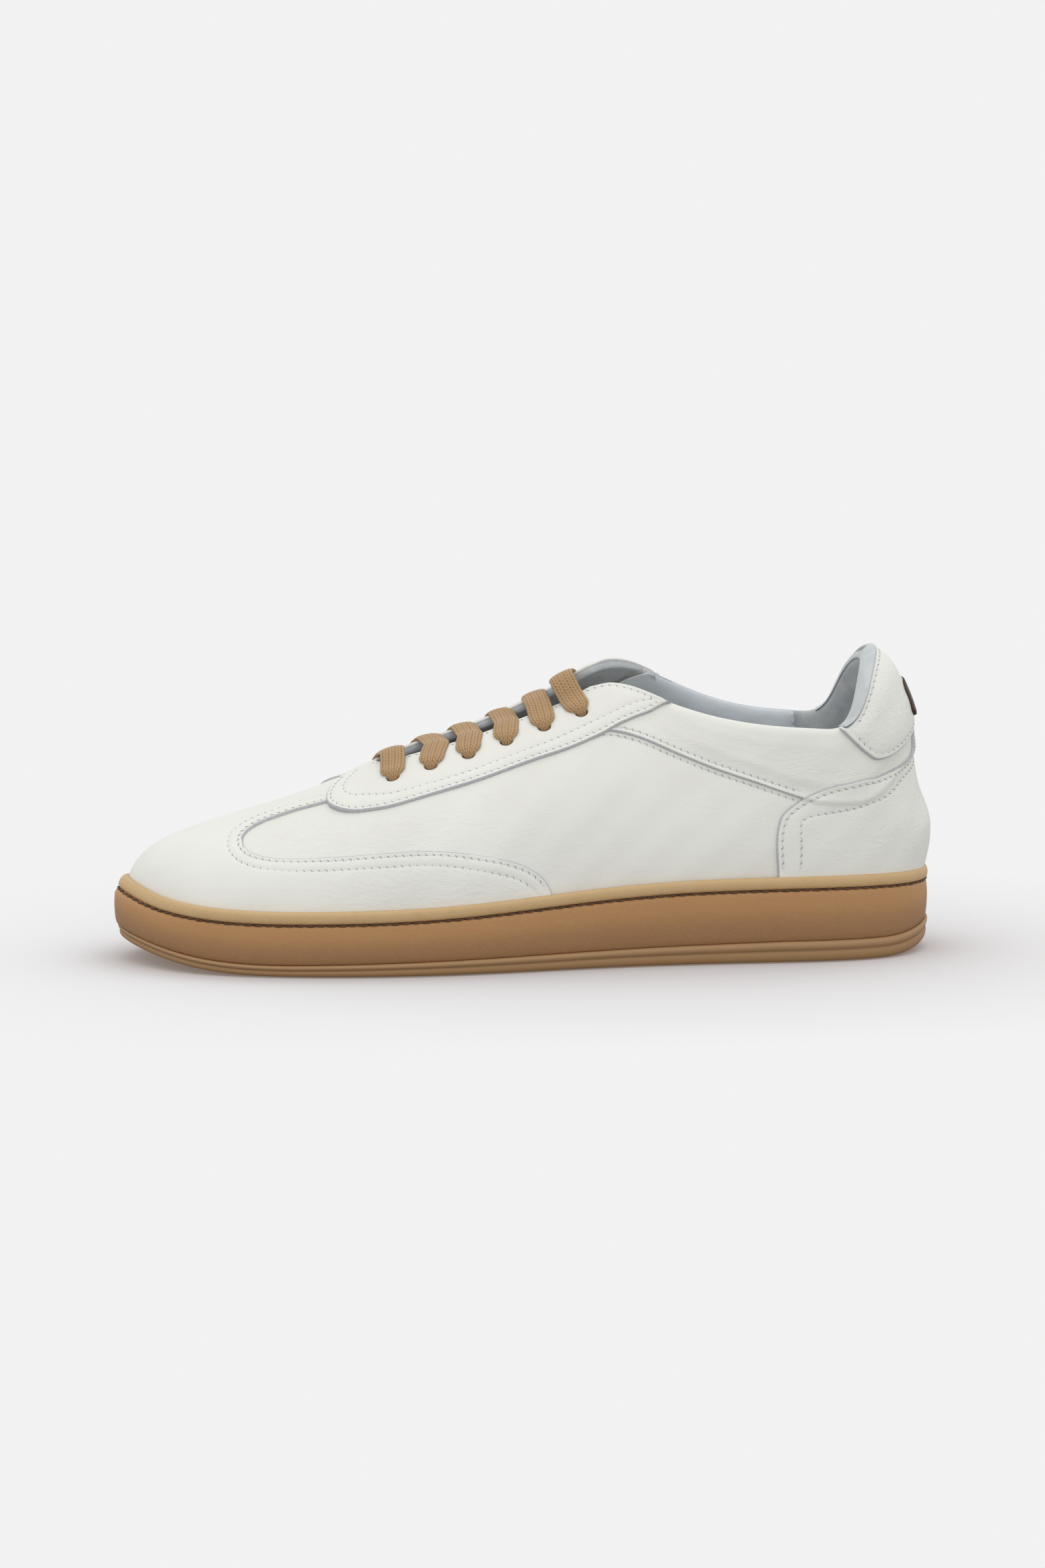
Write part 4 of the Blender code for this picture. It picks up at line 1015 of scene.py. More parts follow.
def raw_edge(name, light, dark):
    """Fibrous cut edge of leather."""
    n = Nodes(name, .95)
    fibre = n.noise(1500, 4, .75)
    colour = n.ramp(fibre, (.3, dark), (.72, light))
    n.raise_by(n.noise(2200, 3, .7), .9, .4)
    return n.finish(colour, Specular_IOR_Level=.1)


def shade_and_mottle(n, scale, amount):
    """The tone attribute, which carries painted shading, with soft patches of real colour
    change.
    """
    patch = n.maths("SUBTRACT", n.noise(scale, 3, .6), .5)
    return n.maths("ADD", n.attribute("tone"),
                   n.maths("MULTIPLY", patch, amount))


def gum(name, stops, grit, roughness):
    """Moulded gum rubber; the tone attribute runs from base to rim as painted shading, darkest
    low on the wall and in the stitch groove, lightest on the rim top.
    """
    n = Nodes(name, roughness)
    # painted shading: the ramp turns the tone from dark brown low on the wall to light yellow on
    # the rim top
    colour = n.ramp(shade_and_mottle(n, 170, .10), *stops)
    speck = n.ramp(n.noise(1500, 2, .6), (.56, (0, 0, 0)), (.78, (1, 1, 1)))
    colour = n.mix(n.maths("MULTIPLY", speck, .16 * grit), colour,
                   (.80, .58, .36))
    n.raise_by(n.noise(900, 3, .65), .42 * grit, .35)
    n.raise_by(n.noise(60, 2, .5), .15, 1.0)
    return n.finish(colour, Specular_IOR_Level=.45,
                    Subsurface_Weight=.12, Subsurface_Radius=(.006, .003,
                                                              .0012))


def tread_rubber(name):
    """Gum tread with a fine herringbone on the sole; its colour follows painted shading from the
    tone attribute.
    """
    n = Nodes(name, .5)
    # painted shading: dark in the recesses and under the cup, light on the outermost bulge
    colour = n.ramp(shade_and_mottle(n, 120, .14), (0, (.29, .163, .07)),
                    (.5, (.365, .208, .09)),
                    (1, (.44, .265, .13)))
    n.raise_by(n.noise(500, 3, .6), .12, .3)
    split = n.add("ShaderNodeSeparateXYZ")
    n.put(split.inputs[0], n.place)
    fold_y = n.maths("PINGPONG", split.outputs["Y"], 9 * MM)
    slope = n.maths("ADD", split.outputs["X"], fold_y)
    teeth = n.maths("PINGPONG", slope, 2.2 * MM)
    groove = n.maths("MINIMUM", n.maths("MULTIPLY", teeth, 900.0), 1.0)
    under = n.attribute("under")
    n.raise_by(n.maths("MULTIPLY", groove, under), 1.0, 1.4)
    return n.finish(colour, Specular_IOR_Level=.4)


def braid(name):
    """Flat cotton braid; painted shade darkens the gaps between strands, from the attribute that
    also sets the braid's relief.
    """
    n = Nodes(name, .85)
    weave_relief_and_shade = n.attribute("weave_relief_and_shade")
    fibre = n.noise(2400, 3, .7)
    # painted shade: dark brown in the gaps between strands, tan on the strand crests
    colour = n.ramp(weave_relief_and_shade, (.08, (.12, .062, .026)), (.42, (.40, .245, .118)),
                    (.95, (.53, .345, .18)))
    colour = n.mix(n.maths("MULTIPLY", fibre, .25), colour,
                   (.60, .42, .24))
    n.raise_by(n.noise(3600, 2, .7), .5, .12)
    return n.finish(colour, Sheen_Weight=.2, Specular_IOR_Level=.2)


def plain(name, light, dark, scale, roughness, bump=.3, size=.2, **inputs):
    """Simple finish with two tones and a fine bump."""
    n = Nodes(name, roughness)
    colour = n.ramp(n.noise(scale, 4, .65), (.3, dark), (.7, light))
    n.raise_by(n.noise(scale * 2.5, 3, .65), bump, size)
    return n.finish(colour, **inputs)


WHITE = leather("white_leather", (.83, .83, .78), (.785, .785, .73))
CALF = leather("white_tab_leather", (.83, .83, .78), (.78, .78, .73), 1.2)
EDGE = raw_edge("cut_edge", (.69, .70, .71), (.45, .465, .48))
INSIDE_EDGE = raw_edge("lining_edge", (.62, .65, .68), (.42, .45, .48))
SUEDE = napped("grey_suede", (.52, .54, .55), (.37, .39, .40))
PALE_SUEDE = napped("pale_suede_binding", (.66, .69, .70), (.52, .55, .56))
LINING_HIDE = lining_hide("blue_grey_lining", (.66, .70, .725),
                          (.57, .61, .645))
# stops of painted shading, from the dark foot of the wall to the light rim top
GUM = gum("gum_wall", ((0, (.325, .166, .070)), (.30, (.375, .195, .081)),
                       (.62, (.465, .243, .096)), (.88, (.49, .256, .101)),
                       (.93, (.54, .345, .155)), (1, (.585, .40, .20))),
          .8, .52)
TREAD = tread_rubber("gum_tread")
THREAD = plain("white_thread", (.83, .83, .80), (.74, .75, .73), 900, .7)
# painted shade of the needle holes, a dark grey-blue
HOLE_SHADE = plain("needle_hole_shade", (.34, .36, .38), (.22, .24, .26), 900, .9)
BROWN_THREAD = plain("brown_thread", (.15, .07, .032), (.055, .025, .012),
                     1400, .55, .6, .2)
BRAID = braid("tan_braid")
AGLET = plain("lace_tip", (.52, .36, .21), (.42, .28, .15), 700, .3, .1, .1,
              Coat_Weight=.6)
BADGE = plain("brown_leather", (.085, .042, .024), (.04, .02, .012), 700,
              .55, .4, .3)
FOAM = plain("foam", (.78, .75, .66), (.66, .62, .52), 1100, .95, .8, .5)
STIFF = plain("stiffener", (.74, .70, .62), (.62, .58, .50), 400, .8)
BOARD = plain("fibre_board", (.46, .37, .26), (.34, .26, .17), 800, .9, .6,
              .3)
FOOT_CLOTH = plain("footbed_cover", (.64, .66, .68), (.52, .54, .56), 900,
                   .9, .5, .25)


# -------------------------------------------------------------- upper pieces
def spots(*places):
    """Wrinkle strength, which also sets painted shade, from soft spots (u, v, reach u, reach v,
    amount).
    """
    def at(points):
        u, v, _ = fold(points[:, 0], points[:, 1])
        total = np.zeros(len(u))
        for cu, cv, ru, rv, amount in places:
            total += amount * np.exp(-((u - cu) / ru) ** 2
                                     - ((v - cv) / rv) ** 2)
        return np.clip(total, 0, 1.5)
    return at


def swell(amount, reach, waves=.0):
    """Soft filling that dies out at the edges of a piece."""
    def at(points, d):
        p = last(points[:, 0], points[:, 1])
        wave = (np.sin(p[:, 0] / 5.3 + p[:, 2] / 3.9)
                * np.sin(p[:, 1] / 6.1 + p[:, 2] / 7.3 + p[:, 0] / 9.7))
        return (amount + waves * wave) * (1 - np.exp(-d / reach))
    return at


def on_side(chart, medial):
    return chart_mirror(chart) if medial else chart


def both(name):
    """Names and medial flags of a piece's two sides."""
    return (name + "_lateral", False), (name + "_medial", True)


def sew(name, rows, level):
    """One object with all the stitches of some rows."""
    sewing = Sewing(name)
    for row in rows:
        sewing.row(row, level)
    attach(sewing.build([THREAD, HOLE_SHADE]), "shoe")


def edge_row(keys, distance):
    return resample(beside(curve(keys), distance), EDGE_STEP)


def make_toe():
    """Toe overlay with two stitch rows round its side lobes."""
    end = TOE_EDGE[0][0]
    edge = curve([(end, rim_v(end, False, DIP)), *TOE_EDGE[1:]])
    loop = toe_loop(rim_line(0, end), edge, line([(.290, .77), (.313, 1)]))
    rows = []
    for distance in (ROW_ONE, ROW_TWO):
        row = beside(edge, distance)
        row = smooth_row(row)
        rim = rim_v(row[:, 0], False, 1.5)
        rows.append(row[(row[:, 1] > rim) & (row[:, 1] < .97)])
    rows += [chart_mirror(row) for row in rows]
    panel("toe_overlay", loop, OVER - .15, -.1,
          [WHITE, EDGE], seams=rows, puff=swell(.25, 3, .12),
          raw=np.vstack([edge, chart_mirror(edge)]),
          crease_and_shade=spots((.33, .22, .12, .12, .55),
                       (.44, .12, .1, .1, .6)))
    sew("toe_overlay_stitches", rows, OVER - .08)


def smooth_row(row, rounds=6):
    """Evenly spaced row with small kinks faired out."""
    row = resample(row, EDGE_STEP)
    for _ in range(rounds):
        row[1:-1] = row[1:-1] / 2 + (row[:-2] + row[2:]) / 4
    return resample(row, EDGE_STEP)


def side_loop():
    low = rim_line(SIDE_FRONT, SIDE_BACK, -4)
    seam = curve(COLLAR_SEAM)[::-1] + (0, .045)
    seam = seam[(seam[:, 0] < SIDE_BACK) & (seam[:, 0] > .61)]
    lap = curve([(u, v + .07) for u, v in STAY_EDGE[7:12]])[::-1]
    nose = line([(.318, .7), (.305, .76), (.298, .84), (SIDE_FRONT, .835)])
    back = line([(SIDE_BACK, rim_v(SIDE_BACK, False, -4)),
                 (SIDE_BACK, seam[0, 1])])
    front = line([(SIDE_FRONT, .835),
                  (SIDE_FRONT, rim_v(SIDE_FRONT, False, -4))])
    return joined(low, back, seam, lap, nose, front)


def make_sides():
    loop = side_loop()
    under_collar = edge_row(COLLAR_SEAM, -1.2)
    under_collar = under_collar[under_collar[:, 0] < .79]
    by_heel = edge_row(HEEL_SIDE, -1.3)
    by_heel = by_heel[by_heel[:, 1] > rim_v(.76, False, 1.2)]
    rows = [smooth_row(under_collar), smooth_row(by_heel)]
    crease_and_shade = spots((.24, .62, .05, .14, .8), (.31, .5, .08, .1, .7),
                   (.40, .48, .10, .10, .3), (.36, .40, .10, .06, .35),
                   (.68, .45, .08, .1, .15), (.55, .2, .15, .08, .3),
                   (.47, .33, .08, .10, .3), (.75, .35, .05, .2, .3))
    for name, medial in both("side_panel"):
        seams = [on_side(row, medial) for row in rows]
        panel(name, on_side(loop, medial), 0, BACKING,
              [WHITE, EDGE], seams=seams, puff=swell(.15, 6, .22),
              crease_and_shade=crease_and_shade)
        sew(name + "_stitches", seams, .03)


def make_collars():
    seam = curve(COLLAR_SEAM)
    loop = joined(seam, line([(.81, .53), (BACK_SEAM, .53)]),
                  line([(BACK_SEAM, .53), (BACK_SEAM, TOP_EDGE)]),
                  top_line(BACK_SEAM, .655),
                  curve([(.655, TOP_EDGE), (.645, .93), (.63, .84),
                         (.603, .74), (.568, .686)]))
    row = smooth_row(beside(seam, 2.1))
    row = row[(row[:, 0] > .6) & (row[:, 0] < .792)]
    crease_and_shade = spots((.8, .72, .06, .16, .55), (.86, .66, .05, .1, .8),
                   (.7, .8, .08, .12, .3), (.93, .62, .06, .06, .9),
                   (.68, .7, .05, .06, .35))
    for name, medial in both("collar_panel"):
        seams = [on_side(row, medial)]
        panel(name, on_side(loop, medial), collar_level,
              BACKING, [WHITE, EDGE], seams=seams, puff=swell(.1, 4, .18),
              crease_and_shade=crease_and_shade, drop=.65, raw=on_side(seam, medial))
        sew(name + "_stitches", seams, lapped(collar_level, .05))


HEEL_INNER = ((.7835, .12), (.786, .25), (.7885, .389), (.7925, .425),
              (.811, .463), (.866, .511), (.906, .492), (.935, .49),
              (.962, .487), (.983, .497), (1.0, .507))


def make_heel():
    """Heel overlay, then the tab with its badge."""
    front = curve([(.761, rim_v(.761, False, DIP)), *HEEL_SIDE[1:],
                   *HEEL_TOP[1:]])
    loop = heel_loop(rim_line(.761, 1), front)
    outer = smooth_row(beside(front, -ROW_ONE - .3))
    outer = outer[outer[:, 1] > rim_v(outer[:, 0], False, 1.2)]
    rows = [outer[outer[:, 0] < .993], curve(HEEL_INNER)[:-2]]
    rows[1] = rows[1][rows[1][:, 1] > rim_v(rows[1][:, 0], False, 1.2)]
    rows += [heel_mirror(r) for r in rows]
    panel("heel_overlay", loop, over_level, -.1,
          [WHITE, EDGE], seams=rows, puff=swell(.2, 3, .2),
          raw=np.vstack([front, heel_mirror(front)]),
          crease_and_shade=spots((.9, .52, .09, .06, .9), (.86, .3, .08, .15, .55),
                       (.95, .35, .06, .2, .5), (.97, .12, .05, .08, .6)))
    sew("heel_overlay_stitches", rows, lapped(over_level, .14))
    make_tab()


TAB_TOP = .972             # the tab's leather stops here under the binding


def make_tab():
    """Padded heel tab."""
    edge = curve(TAB_EDGE)
    top = curve([(.859, .985), (.866, .978), (.88, TAB_TOP), (1, TAB_TOP)])
    loop = heel_loop(edge, top)
    row = smooth_row(beside(edge, 2.0))
    row = row[(row[:, 1] < .93) & (row[:, 0] < .992)]
    rim = line([(.876, TAB_TOP - .022), (.9995, TAB_TOP - .022)])
    rows = [row, heel_mirror(row), rim, heel_mirror(rim)]
    panel("heel_tab", loop, tab_level, -.1, [CALF, EDGE],
          seams=rows, puff=swell(.9, 5, .3),
          raw=np.vstack([edge, heel_mirror(edge)]),
          crease_and_shade=spots((.93, .8, .05, .09, 1.2), (.9, .9, .04, .07, .8),
                       (.97, .72, .04, .07, .9)))
    sew("heel_tab_stitches", rows, lapped(tab_level, .2))
    make_badge()


BADGE_SPAN = .662, .79       # chart heights of the badge


def make_badge():
    """Plain brown patch with a notched edge."""
    u0, v0, v1 = .972, *BADGE_SPAN
    half = np.vstack([line([(1, v0), (u0 + .006, v0)]),
                      line([(u0 + .006, v0), (u0, v0 + .02), (u0, v1 - .02),
                            (u0 + .006, v1)]),
                      line([(u0 + .006, v1), (1, v1)])])
    half = joined(resample(half, .55))
    wave = .28 * (-1) ** np.arange(len(half))
    half[1:-1] = beside(half, wave)[1:-1]
    loop = np.vstack([half, heel_mirror(half[1:-1])])
    panel("heel_badge", loop, lapped(tab_level, 1.6),
          lapped(tab_level, .2), [BADGE, BADGE], drop=.4)


def make_eyestay():
    """U-shaped eyestay with punched holes and three stitch rows a side."""
    outer = curve(STAY_EDGE)
    throat = curve(THROAT)
    rear = top_line(.668, .582)
    loop = ridge_loop(np.vstack([outer, rear, throat]))
    holes = [eyelet_ring(u, v, medial) for medial in (False, True)
             for u, v in EYELETS]
    row = smooth_row(beside(outer, ROW_ONE))
    row = row[(row[:, 1] < .93) | (row[:, 0] < .4)]
    inner = smooth_row(curve(STAY_INNER))
    lip = smooth_row(beside(joined(top_line(.658, .59), throat[2:]), ROW_ONE))
    lip = lip[lip[:, 1] < .99]
    rows = [row[row[:, 1] < .995], inner[inner[:, 1] < .995], lip]
    rows += [chart_mirror(row) for row in rows]
    panel("eyestay", loop, stay_level, -.1, [WHITE, EDGE],
          holes=holes, seams=rows, puff=swell(.12, 3, .08),
          raw=np.vstack([outer, chart_mirror(outer)]),
          crease_and_shade=spots((.3, .85, .03, .2, .5), (.5, .8, .2, .1, .1)))
    sew("eyestay_stitches", rows, lapped(stay_level, -.05))
    make_facing(holes)


def stay_level(u, v):
    """The eyestay lies over the toe overlay at its front."""
    fu, _, _ = fold(u, v)
    return over_level(u, v) + .8 * (1 - smooth((fu - .29) / .035))


FACING = ((.312, 1), (.312, .9), (.32, .75), (.34, .695), (.37, .665),
          (.437, .682), (.507, .703), (.559, .72), (.59, .75), (.606, .8),
          (.628, .9), (.645, .985))


def make_facing(holes):
    """Grey suede facing under the eyestay."""
    throat = beside(curve(THROAT), -.5)
    throat[-1, 1] = 1
    loop = ridge_loop(np.vstack([curve(FACING), top_line(.645, .584),
                                 throat]))
    panel("eyestay_lining", loop, LINING, -.12,
          [SUEDE, SUEDE], step=MEDIUM, holes=holes)


SUEDE_U = .832             # the suede heel lining starts here


def make_linings():
    """Linings with their visible face inward."""
    half = np.vstack([rim_low(0, .36), line([(.36, 0), (.36, .66)]),
                      curve([(.36, .66), (.335, .68), (.315, .74),
                             (.306, 1)])])
    loop = toe_low_loop(half)
    panel("vamp_lining", loop, LINING, BACKING,
          [LINING_HIDE, INSIDE_EDGE], step=COARSE)
    upper = curve([(.652, TOP_EDGE), (.635, .9), (.613, .8), (.597, .74),
                   (.562, .71), (.507, .692), (.437, .671), (.372, .654)])
    loop = joined(rim_low(.364, SUEDE_U),
                  line([(SUEDE_U, 0), (SUEDE_U, TOP_EDGE)]),
                  top_line(SUEDE_U, .652), upper,
                  line([(.372, .654), (.364, .63), (.364, 0)]))
    seam = line([(SUEDE_U - .003, .12), (SUEDE_U - .003, .965)])
    for name, medial in both("quarter_lining"):
        row = on_side(seam, medial)
        panel(name, on_side(loop, medial), lining_level,
              BACKING, [LINING_HIDE, INSIDE_EDGE], step=MEDIUM, seams=[row],
              puff=swell(.1, 5, .35), drop=.3)
        sew(name + "_stitches", [row], lapped(lining_level, -.15))
    start = SUEDE_U - .001
    low = np.vstack([line([(start, TOP_EDGE), (start, 0)]),
                     rim_low(start, 1)])
    loop = heel_loop(low, top_line(start, 1))
    panel("heel_lining", loop, lapped(lining_level, -.35),
          BACKING, [SUEDE, INSIDE_EDGE], step=MEDIUM, puff=swell(.2, 5, .3),
          drop=.4)
    make_binding()


def make_binding():
    """Soft suede roll over the rim of the heel tab."""
    half = np.linspace(.866, 1, 60)
    u = np.concatenate([half, 2 - half[-2::-1]])
    fu = np.minimum(u, 2 - u)
    grow = smooth((fu - .866) / .05)[:, None]
    a = np.linspace(0, math.pi, 15)[None]
    base = TAB_TOP + .004 + (1 - grow) * .008
    v = base + (1 - base) * np.sin(a) * (.45 + .55 * grow)
    u = np.repeat(u[:, None], v.shape[1], 1)
    outer = tab_level(u, v) + .1
    inner = lining_level(u, v) - .12
    offset = (outer + inner) / 2 + (outer - inner) / 2 * np.cos(a)
    verts = lifted(u.ravel(), v.ravel(), offset.ravel())
    obj = mesh_object("heel_tab_binding", verts, tube_faces(*v.shape),
                      [PALE_SUEDE])
    set_out(obj, "shoe")


def rim_low(u0, u1):
    return line([(u0, 0), (u1, 0)])


def toe_low_loop(half):
    """Toe loop whose centre line runs down to the board."""
    half = joined(line([(0, 1), (0, 0)]), half)
    half[half[:, 0] < 1e-6, 0] = 0
    half[-1, 1] = 1
    return np.vstack([half, chart_mirror(half[1:-1])])


def make_stiffeners():
    """Toe puff, heel counter and collar foam, hidden between layers."""
    front = SIDE_FRONT - .01
    half = np.vstack([rim_low(0, front),
                      line([(front, 0), (front, .86), (.298, .865),
                            (.298, 1)])])
    panel("toe_puff", toe_low_loop(half), -.25, BACKING,
          [STIFF, STIFF], step=COARSE)
    low = np.vstack([line([(.808, .5), (.808, 0)]), rim_low(.808, 1)])
    panel("heel_counter",
          heel_loop(low, line([(.808, .5), (1, .5)])), -.25, BACKING,
          [STIFF, STIFF], step=COARSE)
    low = line([(.69, .95), (.69, .58), (1, .58)])
    panel("collar_padding",
          heel_loop(low, line([(.69, .95), (1, .95)])),
          lapped(lining_level, .6), BACKING + .1, [FOAM, FOAM],
          step=COARSE)


# ---------------------------------------------------------------------- sole
TOE_SPRING, TOE_START = 9.0, 92.0
HEEL_LIFT, HEEL_START = 4.5, -126.0
FLANGE_BALL, FLANGE_HEEL = 4.0, 7.6
STATIONS = 620
CAP_END = 128.0            # caps fan out from a middle line this long


def bottom_z(x):
    """Underside of the tread: flat, with toe spring and heel bevel."""
    toe = np.clip((x - TOE_START) / (150 - TOE_START), 0, None)
    heel = np.clip((HEEL_START - x) / (150 + HEEL_START), 0, None)
    return TOE_SPRING * toe ** 2.6 + HEEL_LIFT * heel ** 2.4


def flange(x):
    t = np.clip((90 - x) / 180, 0, 1)
    return FLANGE_BALL + (FLANGE_HEEL - FLANGE_BALL) * t


def round_stations():
    """Outline stations at even spacing: u and side flag."""
    s = np.arange(STATIONS) / STATIONS * S_ALL
    medial = s > S_HEEL
    u = np.where(medial, (S_ALL - s) / (S_ALL - S_HEEL), s / S_HEEL)
    return u, np.where(medial, -1, 1)


def ring_at(inset, height):
    """Ring at an inset from the outline; height takes x."""
    u, side = round_stations()
    plan, inward = outline(u, side)
    p = plan + inward * np.reshape(inset, (-1, 1))
    z = height(p[:, 0]) if callable(height) else height
    return np.concatenate([p, np.reshape(z, (-1, 1))], -1)


def upper_ring(v_rule, offset, height=None):
    """Ring that follows the foot of the upper."""
    u, side = round_stations()
    v = v_rule(u, side)
    chart_v = np.where(side > 0, v, 2 - v)
    p = lifted(u, chart_v, np.full(len(u), float(offset)))
    if height is not None:
        p[:, 2] = height(p[:, 0])
    return p


def lofted(name, rings, looks, painted_shading=None, under=None):
    """Closed body of stacked rings; the end rings are folded shut."""
    count = len(rings[0])
    obj = mesh_object(name, np.vstack(rings),
                      tube_faces(len(rings), count, closed=False), looks)
    # the tone attribute carries painted shading, one value a ring
    if painted_shading is not None:
        point_values(obj, "tone", np.repeat(painted_shading, count))
    point_values(obj, "under", np.repeat(
        under if under is not None else np.zeros(len(rings)), count))
    set_out(obj, "shoe", name)


def toe_inset():
    u, _ = round_stations()
    return 1.5 * np.clip(1 - u / .14, 0, None)


def inward_rings(ring, shares):
    """Rings that shrink a closed ring towards the middle of the shoe."""
    partner = ring[-np.arange(len(ring)) % len(ring)]
    middle = (ring + partner) / 2
    middle[:, 0] = np.clip(middle[:, 0], -CAP_END, CAP_END)
    return [ring * (1 - s) + middle * s for s in shares]


OUTSOLE_PROFILE = (
    # inset, share of the flange height, tone of painted shading
    (2.6, 0, .35), (1.5, .02, .4), (.95, .09, .45), (.62, .2, .55),
    (.5, .34, .6), (.62, .47, .5), (.95, .53, .2), (.75, .585, .35),
    (.35, .65, .75), (.08, .74, .95), (.02, .83, 1), (.2, .92, .8),
    (.65, .985, .45), (1.3, 1.01, .15), (2.2, 1.0, .1),
)


def make_outsole():
    extra = toe_inset()
    rings, painted_shading = [], []
    for inset, share, tone in OUTSOLE_PROFILE:
        rings.append(ring_at(inset + extra, lambda x, share=share:
                             bottom_z(x) + share * flange(x)))
        painted_shading.append(tone)
    top = inward_rings(rings[-1], (.3, 1))
    floor = inward_rings(rings[0], (1, .7, .4, .15, .03))
    for ring in floor:
        ring[:, 2] = bottom_z(ring[:, 0])
    rings = floor + rings + top
    # painted shading: mid tone on the underside, dark where the outsole tucks under the cup
    painted_shading = [.35] * len(floor) + painted_shading + [.1] * len(top)
    under = [1.0] * len(floor) + [0.0] * (len(rings) - len(floor))
    lofted("outsole", rings, [TREAD], painted_shading, under)


def cup_base(x):
    return bottom_z(x) + flange(x) + .05


CUP_PROFILE = (
    # inset, height above the base, share of wall height, tone of painted shading
    (2.6, -.05, 0, 0), (1.25, 0, 0, 0), (.95, .25, 0, .05),
    (.72, .8, 0, .08), (.5, 0, .14, .14), (.3, 0, .3, .24),
    (.18, 0, .48, .38), (.16, 0, .64, .54), (.26, 0, .8, .68),
    (.42, 0, .93, .76),
)
TOE_LEAN = 3.6             # the rim top leans back this far at the toe
LEAN_DEPTH = 6.5           # no lean this far below the rim
LEAN_START, LEAN_REACH = 112, 38
GROOVE = 4.75              # depth of the stitched groove below the rim
RIM_PROFILE = (
    # inset, depth below the rim, tone of painted shading
    (.55, 5.7, .8), (.72, 5.35, .8), (1.15, 5.15, .78), (1.35, GROOVE, .76),
    (1.15, 4.35, .8), (.62, 4.2, .9), (.3, 3.95, .93), (.1, 3.4, .96),
    (.02, 2.6, .99), (.06, 1.8, 1), (.24, 1.05, 1), (.6, .5, 1),
    (1.1, .18, 1), (1.8, .03, 1),
)


def toe_lean(points, depth):
    """Lean the rim band back over the toe, most at its top."""
    points = points.copy()
    points[:, 0] -= (TOE_LEAN * (1 - depth / LEAN_DEPTH)
                     * smooth((points[:, 0] - LEAN_START) / LEAN_REACH))
    return points


def make_cup():
    """Cup wall with a base fillet, bulging face, groove and rim band."""
    rings, painted_shading = [], []
    for inset, above, share, tone in CUP_PROFILE:
        def height(x, above=above, share=share):
            base = cup_base(x)
            return base + above + share * (RIM_Z(x) - 5.9 - base)
        rings.append(ring_at(inset, height))
        painted_shading.append(tone)
    for inset, depth, tone in RIM_PROFILE:
        rings.append(toe_lean(ring_at(inset, lambda x, depth=depth:
                                      RIM_Z(x) - depth), depth))
        painted_shading.append(tone)
    inner = upper_ring(lambda u, side: rim_both(u, side, -.9), .3)
    crown = rings[-1] * .45 + inner * .55
    crown[:, 2] = RIM_Z(crown[:, 0]) - .05
    low = upper_ring(lambda u, side: u * 0, .3)
    rings += [crown, inner, low,
              upper_ring(lambda u, side: u * 0, .3,
                         lambda x: cup_base(x) + 2.6)]
    rings += inward_rings(rings[-1], (.5, 1))
    last_ring = inward_rings(rings[0], (1, .4))
    rings = last_ring + rings
    # painted shading for the base rings and for the rings inside the cup
    painted_shading = [0] * 2 + painted_shading + [1, 1, .9, .6, .6, .6]
    lofted("cupsole", rings, [GUM], painted_shading)


def rim_both(u, side, above):
    """Chart height of the rim on each side."""
    return np.where(side > 0, rim_v(u, False, above),
                    rim_v(u, True, above))


def make_sole_thread():
    """Overlapping thread stitches in the groove of the cup wall."""
    pitch, reach = 3.8, 2.25
    sewing = Sewing("sole_stitch")
    count = int(S_ALL / pitch)
    for k in range(count):
        s = (k + .5) * S_ALL / count + np.linspace(-reach, reach, 5)
        s = s % S_ALL
        medial = s > S_HEEL
        u = np.where(medial, (S_ALL - s) / (S_ALL - S_HEEL), s / S_HEEL)
        plan, inward = outline(u, np.where(medial, -1, 1))
        arch = np.array([1.35, .85, .62, .8, 1.25])[:, None]
        p = toe_lean(plan + inward * arch, GROOVE)
        drift = np.linspace(-.22, .3, 5) + .12 * math.sin(k * 2.3)
        z = RIM_Z(p[:, 0]) - GROOVE + drift
        centres = np.concatenate([p, z[:, None]], -1)
        out = np.concatenate([-inward, np.zeros((5, 1))], -1)
        up = np.tile([0.0, 0.0, 1.0], (5, 1))
        sewing.bead(centres, out, up, .42, .42, 0, 6)
    set_out(sewing.build([BROWN_THREAD]), "shoe", "sole_stitch")


def make_footbed():
    """Dished insole with a soft arch on the inner side."""
    rows, cols = 110, 26
    u = np.linspace(0, 1, rows)
    a = lifted(u, u * 0, np.full(rows, -3.2))
    b = lifted(u, u * 0 + 2, np.full(rows, -3.2))
    t = np.linspace(0, 1, cols)[None, :, None]
    grid = a[:, None] * (1 - t) + b[:, None] * t
    x = grid[..., 0]
    s = t[..., 0]
    base = RIM_Z(x) - TUCK + 2.0
    rise = 3.6 + 2.2 * np.abs(2 * s - 1) ** 3
    arch = (2.4 * np.exp(-((x + 15) / 34) ** 2)
            * np.clip(2 * s - 1, 0, None) ** 2)
    edge = np.minimum(np.minimum(s, 1 - s) * 26, 1)
    grid[..., 2] = base + rise + arch - .8 * (1 - edge) ** 2
    low = grid.copy()
    low[..., 2] = base
    verts = np.vstack([grid.reshape(-1, 3), low.reshape(-1, 3)])
    obj = mesh_object("footbed", verts, slab_faces(rows, cols), [FOOT_CLOTH])
    set_out(obj, "shoe", "footbed")


